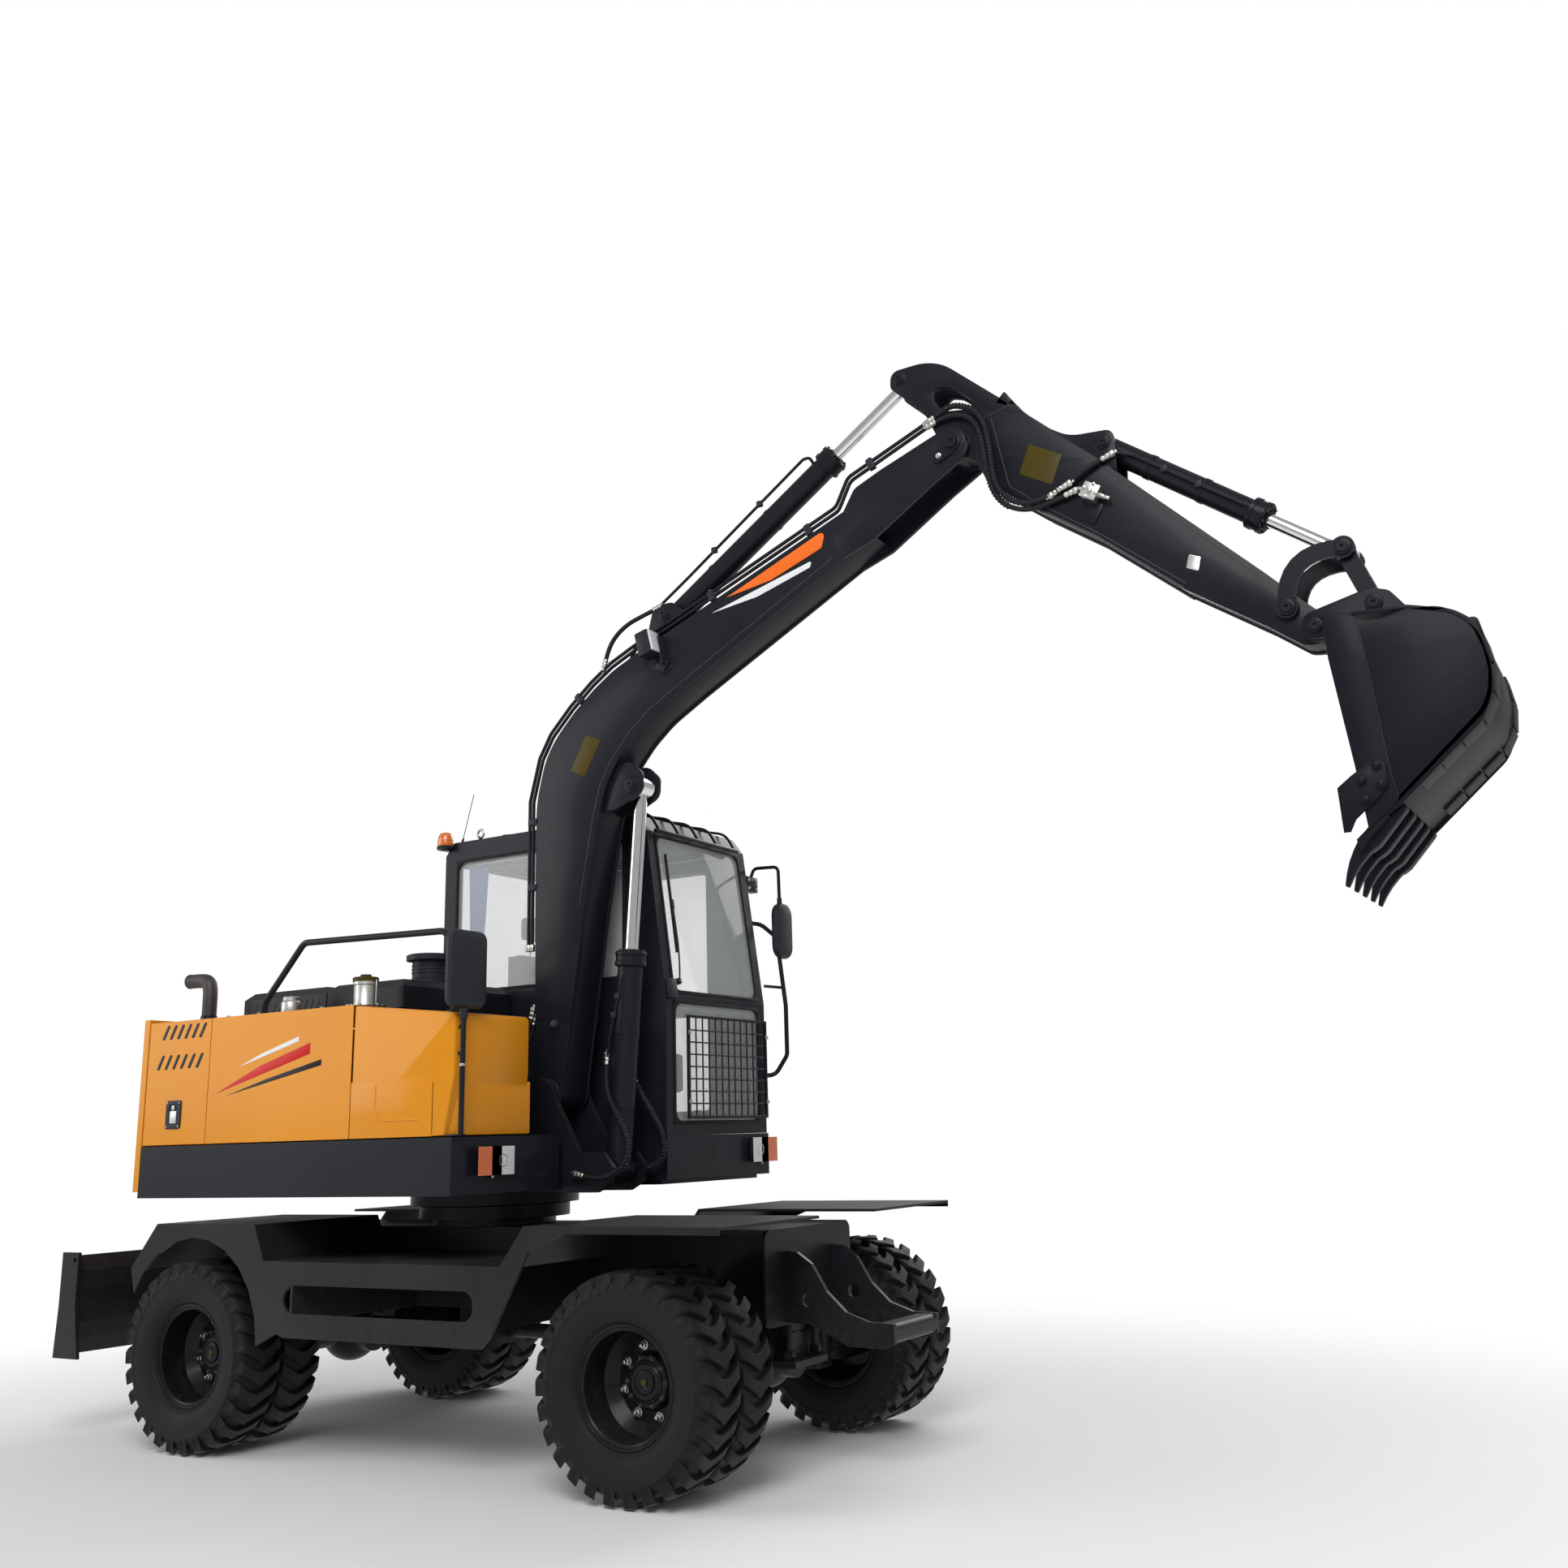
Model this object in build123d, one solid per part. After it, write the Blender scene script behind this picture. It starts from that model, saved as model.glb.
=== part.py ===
from build123d import *
from math import atan2, cos, degrees, hypot, radians, sin
import os

# Wheeled excavator, full size, as separate pieces joined by pins, bearings and slides.
# Frame: millimetres, +X towards the boom, +Y to the left (cab side), +Z up.
# Origin: on the ground, midway between the axles, on the centre line.

# ---- running gear -------------------------------------------------------------
wheelbase = 2570            # front axle to rear axle
over_tyres = 2120           # width over the outer tyres
tyre_radius = 432.5         # to the tips of the lugs
tyre_width = 234
twin_gap = 5                # between the two tyres of a pair
tread_depth = 24            # height of the lugs
rim_inset = 38              # outer rim flange, in from the tyre's outer face
rim_width = 158
flange_radius = 234
barrel_radius = 216         # outside of the rim's barrel, seat of the tyre's bead
rim_wall = 9
hub_radius = 118
hub_disc = 12               # thickness of each wheel disc
kingpin_y = 500             # steering pivot, out from the centre line
kingpin_radius = 22
kingpin_fit = 0.05          # radial play of the kingpins
steer_arm = 200             # steering arm, pivot to rod end
axle_tube_radius = 68

# ---- undercarriage --------------------------------------------------------------
plate = 14                  # general plate thickness of the chassis
beam_half_width = 250       # centre beam
beam_bottom = 600
beam_top = 975
nose_x = 1540               # front face of the centre beam
nose_half_width = 372
tail_x = -1560              # rear face of the centre beam
side_y = 1030               # outer face of the side frames
fender_top = 1030           # top of the wheel covers
step_top = 868              # top of the recessed step between the wheels
skirt_bottom = 540          # lower edge of the side plates
fender_plate = 12
bracket_y = 201.5           # centre of each front bracket plate
bracket_plate = 22
bracket_hole_x = 1650
bracket_hole_z = 683
bracket_hole_radius = 30

# ---- slewing ring ------------------------------------------------------------------
swing_x = -300              # slewing axis
ring_top = 1070
ring_radius = 375
drum_radius = 420
base_ring_radius = 306

# ---- upper structure ----------------------------------------------------------------
deck_z = 1150               # underside of the revolving frame
deck_plate = 20
panel_seam_z = 1398         # black skirt below, yellow panels above
panel_top = 2010
side_right = -1020          # outer face of the right-hand panels
side_left = 1030            # outer face of the left-hand panels
skirt_sheet = 6
panel_sheet = 4
panel_gap = 6
front_right_x = 350         # front of the right-hand skirt box
tank_front_x = 325
tank_rear_x = -280
tank_inner_y = -520
mid_rear_x = -1270          # seam between the middle panel and the rear door
door_rear_x = -1745
tail_end_x = -1870          # rearmost point of the counterweight
tail_side_x = -1750         # counterweight where it meets the side doors
weight_front_x = -1600       # front of the counterweight between the side compartments
weight_half = 700           # half width of that deep middle part
hood_rear_x = -1440
toolbox_top = 1648
toolbox_inner_y = -440
toolbox_front_x = 345

# ---- cab --------------------------------------------------------------------------
cab_rear_x = -812
cab_front_x = 690
cab_base_front_x = 700
cab_right_y = 112
cab_left_y = 1030
cab_floor_z = 1380
cab_waist_z = 2140
cab_top_z = 3000
cab_wall = 45
roof_front_x = 545
glass = 6
cab_door_front_x = 420
cab_door_rear_x = -330
door_gap = 8

# ---- working arm: pin centres as (x, z) in the arm's plane ------------------------------
arm_y = -100                # middle plane of the arm
boom_width = 215
boom_plate = 12
fork_plate = 20
stick_width = 165
pin_radius = 32
pin_fit = 0.06              # radial play of a pin in its own boss
cylinder_pin = 27           # pins of the boom and arm cylinders
small_pin = 25              # pin of the bucket cylinder
boom_foot = (200, 1585)
boom_cyl_foot = (557, 1232)
boom_cyl_head = (700, 3076)
stick_pin = (2550, 4408)
arm_cyl_base = (915, 3925)
arm_cyl_eye = (2285, 4822)
bucket_cyl_base = (3240, 4235)
rocker_pin = (3931, 3326)
rocker_top = (4165, 3526)
bucket_pin = (4035, 3222)
link_pin = (4258, 3268)
bucket_width = 750

os.makedirs("parts", exist_ok=True)

axle_x = wheelbase / 2
axle_z = tyre_radius
made = []


# ---- shape helpers ---------------------------------------------------------------
def keep(name, shape):
    """Write one piece to its own file."""
    shape.label = name
    export_step(shape, f"parts/{name}.step")
    made.append(name)


def block(x0, x1, y0, y1, z0, z1):
    return Pos((x0 + x1) / 2, (y0 + y1) / 2, (z0 + z1) / 2) * Box(abs(x1 - x0), abs(y1 - y0), abs(z1 - z0))


def rod(a, b, radius):
    """Round bar from point a to point b."""
    start, end = Vector(*a), Vector(*b)
    return Plane(start, z_dir=end - start) * Cylinder(radius, (end - start).length,
                                                      align=(Align.CENTER, Align.CENTER, Align.MIN))


def cross(point, radius, y0, y1):
    """Round bar along Y through (x, z)."""
    return rod((point[0], y0, point[1]), (point[0], y1, point[1]), radius)


def sheet_xz(points, y0, y1):
    """Plate with an (x, z) outline, from y0 to y1."""
    face = make_face(Polyline(*[(x, y0, z) for x, z in points], close=True))
    return extrude(face, amount=y1 - y0, dir=(0, 1, 0))


def sheet_xy(points, z0, z1):
    face = make_face(Polyline(*[(x, y, z0) for x, y in points], close=True))
    return extrude(face, amount=z1 - z0, dir=(0, 0, 1))


def sheet_yz(points, x0, x1):
    face = make_face(Polyline(*[(x0, y, z) for y, z in points], close=True))
    return extrude(face, amount=x1 - x0, dir=(1, 0, 0))


def round_edges(shape, axis, radius, low=None):
    """Round the edges that run along one axis."""
    edges = shape.edges().filter_by(axis)
    if low is not None:
        edges = edges.filter_by(low)
    return fillet(edges, radius)


def pipe(points, radius, bend):
    """Round tube along straight runs joined by arcs."""
    route = FilletPolyline(*points, radius=bend)
    section = Plane(route @ 0, z_dir=route % 0) * Circle(radius)
    return sweep(section, path=route)


def turned(profile, centre):
    """Body of revolution about the Y line through centre (x, z); profile is (radius, y)."""
    face = make_face(Polyline(*[(centre[0], y, centre[1] + r) for r, y in profile], close=True))
    return revolve(face, Axis((centre[0], 0, centre[1]), (0, 1, 0)), 360)


def mirrored(shape):
    return mirror(shape, about=Plane.XZ)


def lean(p, q):
    """Unit vector in the (x, z) plane from p to q, and the distance."""
    reach = hypot(q[0] - p[0], q[1] - p[1])
    return ((q[0] - p[0]) / reach, (q[1] - p[1]) / reach), reach


def along(p, q, distance, aside=0):
    """Point on the line p to q at a distance from p, shifted to its left side."""
    (ux, uz), _ = lean(p, q)
    return (p[0] + ux * distance - uz * aside, p[1] + uz * distance + ux * aside)


def arc_points(centre, radius, start, end, steps):
    """Points on an arc in the (x, z) plane, angles in degrees."""
    turn = (end - start) / steps
    return [(centre[0] + radius * cos(radians(start + turn * i)),
             centre[1] + radius * sin(radians(start + turn * i))) for i in range(steps + 1)]


# ---- wheels --------------------------------------------------------------------------
outer_face = over_tyres / 2
pair_inner_face = outer_face - 2 * tyre_width - twin_gap
twin_middle = outer_face - tyre_width - twin_gap / 2


def tyre(outside):
    """One tyre, its outer face at y = outside, on the left-hand front wheel's line."""
    inside = outside - tyre_width
    bead = (tyre_width - rim_width) / 2
    half = [
        # radius, distance in from the face
        (barrel_radius, bead + 4), (flange_radius, bead), (flange_radius + 16, bead - 12),
        (flange_radius + 96, 4), (tyre_radius - 62, 0), (tyre_radius - 12, 8), (tyre_radius, 22)]
    left = [(r, outside - d) for r, d in half]
    right = [(r, inside + d) for r, d in reversed(half)]
    return turned(left + right, (0, axle_z))


def rim():
    """Both rims of a pair, with the discs between them and the hub."""
    wells = []
    for outside in (outer_face, outer_face - tyre_width - twin_gap):
        face = outside - rim_inset
        back = face - rim_width
        wells.append(turned([
            (flange_radius, face), (barrel_radius, face - 4), (barrel_radius, back + 4), (flange_radius, back),
            (flange_radius - rim_wall, back), (barrel_radius - rim_wall, back + 4 + rim_wall),
            (barrel_radius - rim_wall, face - 4 - rim_wall), (flange_radius - rim_wall, face)], (0, axle_z)))
    outer_disc = turned([
        (barrel_radius - 2, twin_middle + 44), (barrel_radius - 2, twin_middle + 62),
        (hub_radius + 42, twin_middle + hub_disc), (0, twin_middle + hub_disc), (0, twin_middle),
        (hub_radius + 50, twin_middle)], (0, axle_z))
    inner_disc = turned([
        (barrel_radius - 2, twin_middle - 44), (barrel_radius - 2, twin_middle - 62),
        (hub_radius + 42, twin_middle - hub_disc), (0, twin_middle - hub_disc), (0, twin_middle),
        (hub_radius + 50, twin_middle)], (0, axle_z))
    hub = turned([(0, twin_middle - 190), (hub_radius - 8, twin_middle - 190), (hub_radius, twin_middle - 170),
                  (hub_radius, twin_middle), (hub_radius - 14, twin_middle + 34),
                  (hub_radius - 52, twin_middle + 62), (0, twin_middle + 62)], (0, axle_z))
    return wells[0] + wells[1] + outer_disc + inner_disc + hub


one_tyre = tyre(outer_face)
tyre_pair = Compound(children=[one_tyre, Pos(0, -tyre_width - twin_gap, 0) * one_tyre])
rim_pair = rim()
corners = [
    # name, x, left side
    ("front_left", axle_x, True), ("front_right", axle_x, False),
    ("rear_left", -axle_x, True), ("rear_right", -axle_x, False)]
for corner, x, left in corners:
    for kind, shape in (("tyres", tyre_pair), ("rims", rim_pair)):
        keep(f"{kind}_{corner}", Pos(x, 0, 0) * (shape if left else mirrored(shape)))

# ---- axles ------------------------------------------------------------------------------
hub_inner_y = twin_middle - 190     # inner end of the wheel hubs
case_radius = 150


def axle_case(x, half_length):
    """Axle beam with its differential bulge, along Y at the wheel centres."""
    tube = rod((x, -half_length, axle_z), (x, half_length, axle_z), axle_tube_radius)
    bulge = Pos(x, 0, axle_z) * Sphere(case_radius)
    cover = rod((x - case_radius - 26, 0, axle_z), (x + case_radius + 26, 0, axle_z), 96)
    return tube + bulge + cover


rear_axle = axle_case(-axle_x, hub_inner_y - 1)
for side in (-1, 1):
    rear_axle += block(-axle_x - 70, -axle_x + 70, side * 150, side * 240, axle_z + 30, beam_bottom)
    rear_axle += rod((-axle_x, side * (hub_inner_y - 30), axle_z), (-axle_x, side * (hub_inner_y - 1), axle_z), 104)
keep("rear_axle", rear_axle)

yoke_gap = 96                # clear height between the yoke's arms
yoke_arm = 26
front_axle = axle_case(axle_x, kingpin_y - 86)
steer_y = kingpin_y          # steering rod ends
steer_x = axle_x - steer_arm
rod_x = steer_x + 11.5       # steering rod, in the middle of the depth of the arms' arcs
steer_z = axle_z - 42        # steering cylinder, below the propeller shaft
shaft_z = axle_z + 42
for side in (-1, 1):
    arms = block(axle_x - 56, axle_x + 56, side * (kingpin_y - 110), side * (kingpin_y + 34),
                 axle_z - yoke_gap - yoke_arm, axle_z + yoke_gap + yoke_arm)
    arms = round_edges(arms, Axis.Z, 30)
    arms -= block(axle_x - 60, axle_x + 60, side * (kingpin_y - 66), side * (kingpin_y + 40),
                  axle_z - yoke_gap, axle_z + yoke_gap)
    for end in (-1, 1):
        arms -= rod((axle_x, side * kingpin_y, axle_z + end * (yoke_gap - 1)),
                    (axle_x, side * kingpin_y, axle_z + end * (yoke_gap + yoke_arm + 1)),
                    kingpin_radius + kingpin_fit)
    front_axle += arms
pivot_z = beam_bottom - 34    # fore-and-aft pivot that the front axle rocks on
hanger = 24
front_axle += block(axle_x - 150, axle_x + 150, -70, 70, axle_z + 60, beam_bottom - 2)
front_axle -= rod((axle_x - 160, 0, pivot_z), (axle_x + 160, 0, pivot_z), 21)
cylinder_half = 150
front_axle += rod((rod_x, -cylinder_half, steer_z), (rod_x, cylinder_half, steer_z), 36)
front_axle -= rod((rod_x, -cylinder_half - 1, steer_z), (rod_x, cylinder_half + 1, steer_z), 18)
front_axle += block(axle_x + 100, axle_x + 250, -140, 140, axle_z - 40, axle_z - 12)
for side in (-1, 1):
    front_axle += block(rod_x + 20, axle_x - 80, side * 96 - 12, side * 96 + 12, steer_z - 30, steer_z + 30)
keep("front_axle", front_axle)
pivot_block = rod((axle_x - 154 - hanger, 0, pivot_z), (axle_x + 154 + hanger, 0, pivot_z), 20)
for side in (-1, 1):
    a, b = sorted((axle_x + side * 154, axle_x + side * (154 + hanger)))
    pivot_block += block(a, b, -70, 70, pivot_z - 34, beam_bottom)

eye_radius = 22
ball_slack = 14              # room for the arm's arc round the ball pin
rod_eye = eye_radius + 8
steering_rod = rod((rod_x, -steer_y + rod_eye - 4, steer_z), (rod_x, steer_y - rod_eye + 4, steer_z), 16)
for side in (-1, 1):
    steering_rod += rod((rod_x, side * steer_y, steer_z - 16), (rod_x, side * steer_y, steer_z + 16), rod_eye)
    steering_rod -= rod((rod_x, side * steer_y, steer_z - 18), (rod_x, side * steer_y, steer_z + 18), 6 + ball_slack)
keep("steering_rod", steering_rod)


def knuckle(side):
    """Steering knuckle with its kingpin, stub and steering arm."""
    y = side * kingpin_y
    body = rod((axle_x, y, axle_z - yoke_gap + 4), (axle_x, y, axle_z + yoke_gap - 4), 48)
    body += rod((axle_x, y, axle_z - yoke_gap - yoke_arm), (axle_x, y, axle_z + yoke_gap + yoke_arm), kingpin_radius)
    body += rod((axle_x, y, axle_z), (axle_x, side * (hub_inner_y - 1), axle_z), 70)
    arm = rod((axle_x, y, steer_z + 44), (steer_x, side * steer_y, steer_z + 44), 15)
    arm += rod((steer_x, side * steer_y, steer_z + 26), (steer_x, side * steer_y, steer_z + 62), eye_radius)
    arm += rod((steer_x, side * steer_y, steer_z + 12), (steer_x, side * steer_y, steer_z + 30), 6)
    return body + arm


keep("knuckle_left", knuckle(1))
keep("knuckle_right", knuckle(-1))

lock_x = axle_x + 204        # axle locking cylinders, between chassis nose and front axle
locks = []
for side in (-1, 1):
    y = side * 112
    stand = rod((lock_x, y, axle_z + 150), (lock_x, y, beam_bottom), 34)
    stand += rod((lock_x, y, axle_z + 20), (lock_x, y, axle_z + 150), 16)
    stand += rod((lock_x, y - 14, axle_z + 12), (lock_x, y + 14, axle_z + 12), 24)
    locks.append(stand)
keep("axle_lock_cylinders", Compound(children=locks))

# ---- turntable base ------------------------------------------------------------------------
base = rod((swing_x, 0, beam_top), (swing_x, 0, ring_top - 60), base_ring_radius)
base += rod((swing_x, 0, ring_top - 60), (swing_x, 0, ring_top), ring_radius)
base -= rod((swing_x, 0, beam_top - 1), (swing_x, 0, ring_top + 1), base_ring_radius - 90)
keep("turntable_base", base)

arch_radius = 470
fender_rear_x = -axle_x - 470
fender_front_x = axle_x + 455
step_rear_x = -793
step_front_x = 645
arch_top = fender_top - 34


def side_plate():
    """Left side plate: wheel arches fore and aft, a long slot in the middle."""
    rear_arch = arc_points((-axle_x, axle_z + 65), arch_radius, 154, 0, 10)
    outline_points = [
        (fender_rear_x + 14, 795 + 26), (fender_rear_x + 190, fender_top), (step_rear_x - 72, fender_top),
        (step_rear_x, step_top), (step_front_x, step_top), (step_front_x + 128, fender_top),
        (fender_front_x, fender_top), (fender_front_x, fender_top - 30), (976, fender_top - 30), (934, fender_top - 50),
        (800, 930), (603, 591), (547, skirt_bottom), (-636, skirt_bottom), (-686, 555)]
    shape = sheet_xz(outline_points + list(reversed(rear_arch)), side_y - plate, side_y)
    slot = SlotOverall(1150, 122)
    cut = extrude(Plane((-70, side_y + 1, 705), x_dir=(1, 0, 0), z_dir=(0, -1, 0)) * slot, amount=plate + 2)
    return shape - cut


half_frame = side_plate()
inner_y = beam_half_width
top_sheets = [
    # x0, x1, z of the top
    (fender_rear_x + 190, step_rear_x - 72, fender_top), (step_front_x + 128, fender_front_x, fender_top),
    (step_rear_x, step_front_x, step_top)]
for x0, x1, z in top_sheets:
    half_frame += block(x0, x1, inner_y + 1, side_y, z - fender_plate, z)
half_frame += sheet_xz([(step_rear_x - 72, fender_top), (step_rear_x, step_top),
                        (step_rear_x, step_top - fender_plate), (step_rear_x - 84, fender_top - fender_plate)],
                       inner_y + 1, side_y)
half_frame += sheet_xz([(step_front_x, step_top), (step_front_x + 128, fender_top),
                        (step_front_x + 142, fender_top - fender_plate), (step_front_x, step_top - fender_plate)],
                       inner_y + 1, side_y)
half_frame += sheet_xz([(fender_rear_x + 14, 821), (fender_rear_x + 190, fender_top),
                        (fender_rear_x + 200, fender_top - fender_plate), (fender_rear_x + 26, 812)],
                       side_y - 520, side_y)
for x in (-600, 500):
    half_frame += block(x, x + plate, inner_y + 1, side_y, skirt_bottom + 60, step_top - 2)
keep("side_frames", Compound(children=[half_frame, mirrored(half_frame)]))

tip_x = 2055
tip_z = 560
bracket_outline = [
    (nose_x, 880), (nose_x + 60, 876), (nose_x + 130, 830), (nose_x + 200, 720), (nose_x + 290, 640),
    (nose_x + 400, 604), (tip_x, 600), (tip_x, 520), (tip_x - 60, 500), (tip_x - 220, 506), (nose_x + 120, 586),
    (nose_x, 590)]
front_bracket = Part()
for side in (-1, 1):
    cheek = sheet_xz(bracket_outline, side * bracket_y - bracket_plate / 2, side * bracket_y + bracket_plate / 2)
    cheek -= cross((bracket_hole_x, bracket_hole_z), bracket_hole_radius, side * bracket_y - bracket_plate,
                   side * bracket_y + bracket_plate)
    front_bracket += cheek
front_bracket += round_edges(block(tip_x - 110, tip_x, -bracket_y, bracket_y, 520, 598), Axis.Y, 26)
keep("front_bracket", front_bracket)

gear_x = -300
drive_line = block(gear_x - 120, gear_x + 120, -110, 110, shaft_z - 60, beam_bottom)
for x0, x1 in ((-axle_x + case_radius + 26, gear_x - 120), (gear_x + 120, axle_x - case_radius - 26)):
    drive_line += rod((x0, 0, shaft_z), (x1, 0, shaft_z), 34)
keep("drive_line", drive_line)

# ---- dozer blade ---------------------------------------------------------------------------
blade_pivot = (tail_x - 60, 640)
blade_x = -2170
blade_top = 890
blade_foot = 386
blade_half = 1060
blade_arm_y = 330
tie_hole = (blade_x + 22, 852)      # tie-down hole in each end plate
tie_hole_radius = 13
blade_pin_radius = 28
ram_pin_radius = 22          # pins of the blade cylinder
blade_cyl_base = (tail_x - 62, 880)
blade_cyl_eye = (-2010, 590)


def blade_section(offset):
    """Curved moldboard line, shifted to the rear by offset."""
    return [(x - offset, z) for x, z in arc_points((blade_x - 420, (blade_top + blade_foot) / 2), 470, -30, 30, 6)]


board = sheet_xz(blade_section(0) + list(reversed(blade_section(14))), -blade_half, blade_half)
for side in (-1, 1):
    board += sheet_xz([(blade_x + 50, blade_top), (blade_x - 80, blade_top), (blade_x - 80, 640), (blade_x - 95, blade_foot),
                       (blade_x + 100, blade_foot), (blade_x + 50, 640)], side * (blade_half - 16), side * blade_half)
    arm = sheet_xz([(blade_x + 30, 520), (blade_x + 30, 700), (blade_pivot[0] - 50, blade_pivot[1] + 48),
                    (blade_pivot[0] + 40, blade_pivot[1] + 48), (blade_pivot[0] + 40, blade_pivot[1] - 48),
                    (blade_pivot[0] - 50, blade_pivot[1] - 48)], side * blade_arm_y - 30, side * blade_arm_y + 30)
    board += arm
    board += sheet_xz([(blade_x + 30, 520), (blade_x + 30, 640), (blade_cyl_eye[0] - 20, blade_cyl_eye[1] + 44),
                       (blade_cyl_eye[0] + 44, blade_cyl_eye[1] + 20), (blade_cyl_eye[0] + 44, blade_cyl_eye[1] - 70),
                       (blade_cyl_eye[0], 520)], side * 72 - 10, side * 72 + 10)
board += block(blade_x + 20, -2010, -blade_arm_y, blade_arm_y, 500, 530)
for side in (-1, 1):
    board -= cross(tie_hole, tie_hole_radius, side * blade_half - 20, side * blade_half + 20)
hinge_hole = cross(blade_pivot, blade_pin_radius + pin_fit, -blade_arm_y - 40, blade_arm_y + 40)
keep("blade", board - hinge_hole)

# ---- chassis -----------------------------------------------------------------------------
beam = block(tail_x, nose_x - plate, -beam_half_width, beam_half_width, beam_bottom, beam_top)
beam -= block(tail_x + plate, nose_x - 2 * plate, -beam_half_width + plate, beam_half_width - plate,
              beam_bottom + plate, beam_top - plate)
beam -= rod((swing_x, 0, beam_top - plate - 1), (swing_x, 0, beam_top + 1), base_ring_radius - 90)
beam += block(axle_x - 260, nose_x - plate, -nose_half_width, nose_half_width, beam_top - plate, beam_top)
nose = block(nose_x - plate, nose_x, -nose_half_width, nose_half_width, beam_bottom - 20, beam_top)
nose = round_edges(nose, Axis.X, 40)
beam += nose + pivot_block
for side in (-1, 1):
    a, b = sorted((side * 62, side * 84))
    ear = sheet_xz([(tail_x, blade_cyl_base[1] - 80), (tail_x, blade_cyl_base[1] + 60),
                    (blade_cyl_base[0] - 44, blade_cyl_base[1] + 30), (blade_cyl_base[0] - 44, blade_cyl_base[1] - 30)],
                   a, b)
    beam += ear - cross(blade_cyl_base, ram_pin_radius + pin_fit, a - 1, b + 1)
    for near, far in ((blade_arm_y - 34 - plate, blade_arm_y - 34), (blade_arm_y + 34, blade_arm_y + 34 + plate)):
        a, b = sorted((side * near, side * far))
        beam += sheet_xz([(tail_x + plate, blade_pivot[1] - 40), (tail_x + plate, blade_pivot[1] + 90),
                          (blade_pivot[0] - 40, blade_pivot[1] + 44), (blade_pivot[0] - 40, blade_pivot[1] - 40)], a, b)
    a, b = sorted((side * (blade_arm_y - 34 - plate), side * (blade_arm_y + 34 + plate)))
    beam += cross(blade_pivot, blade_pin_radius, a, b)
beam += block(tail_x, tail_x + plate, -blade_arm_y - 60, blade_arm_y + 60, beam_bottom, beam_top - 40)
keep("chassis_frame", beam)

# ---- upper structure ----------------------------------------------------------------------------
deck = block(weight_front_x, 330, -980, side_left - 30, deck_z, deck_z + deck_plate)
deck += block(330, 640, cab_right_y + 20, side_left - 30, deck_z, deck_z + deck_plate)
deck += rod((swing_x, 0, ring_top + 6), (swing_x, 0, deck_z + 1), drum_radius)
deck -= rod((swing_x, 0, ring_top), (swing_x, 0, deck_z + deck_plate + 1), base_ring_radius - 90)
lug_gap = boom_width / 2 + 8
lug_plate = 25
lug_outline = [
    (boom_foot[0] - 480, deck_z), (boom_foot[0] - 100, boom_foot[1] - 40), (boom_foot[0] - 76, boom_foot[1] + 50),
    (boom_foot[0] - 10, boom_foot[1] + 86), (boom_foot[0] + 60, boom_foot[1] + 50),
    (boom_foot[0] + 90, boom_foot[1] - 30), (boom_cyl_foot[0] - 120, boom_cyl_foot[1] + 80),
    (boom_cyl_foot[0] + 20, boom_cyl_foot[1] + 78), (boom_cyl_foot[0] + 76, boom_cyl_foot[1] + 10),
    (boom_cyl_foot[0] + 60, boom_cyl_foot[1] - 60), (boom_cyl_foot[0] - 20, deck_z - 20), (330, deck_z - 20)]
for side in (-1, 1):
    near = arm_y + side * lug_gap
    far = arm_y + side * (lug_gap + lug_plate)
    lug = sheet_xz(lug_outline, min(near, far), max(near, far))
    lug -= cross(boom_cyl_foot, cylinder_pin + pin_fit, min(near, far) - 1, max(near, far) + 1)
    lug += cross(boom_foot, 38, min(near, far), max(near, far))
    deck += lug
deck += cross(boom_foot, 40 - pin_fit, arm_y - lug_gap - lug_plate, arm_y + lug_gap + lug_plate)
deck += block(300, 330, arm_y - lug_gap - lug_plate, arm_y + lug_gap + lug_plate, deck_z - 20, deck_z + 60)
keep("revolving_frame", deck)

skirt = block(tail_side_x, front_right_x, side_right, side_right + skirt_sheet, deck_z, panel_seam_z)
skirt += block(front_right_x - skirt_sheet, front_right_x, side_right, -290, deck_z, panel_seam_z)
skirt += block(front_right_x - 250, front_right_x, -290 - skirt_sheet, -290, deck_z + deck_plate, panel_seam_z)
skirt += block(weight_front_x, front_right_x, side_right, -980, deck_z, deck_z + skirt_sheet)
skirt += block(tank_rear_x, front_right_x, side_right, -296, panel_seam_z - skirt_sheet, panel_seam_z)
left = block(tail_side_x, cab_rear_x, side_left - skirt_sheet, side_left, deck_z, panel_seam_z)
left += block(weight_front_x, cab_rear_x, side_left - 30, side_left, deck_z, deck_z + skirt_sheet)
keep("skirts", Compound(children=[skirt, left]))

weight_points = [(weight_front_x, -weight_half), (tail_side_x, -weight_half), (tail_side_x, side_right),
                 (tail_side_x - 40, side_right), (tail_end_x, side_right + 190), (tail_end_x, side_left - 190),
                 (tail_side_x - 40, side_left), (tail_side_x, side_left), (tail_side_x, weight_half),
                 (weight_front_x, weight_half)]
counterweight = sheet_xy(weight_points, 1180, panel_top + 20)
keep("counterweight", counterweight)

keep("engine_block", block(-1400, -860, -380, 380, deck_z + deck_plate + 40, deck_z + 640))

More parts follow.
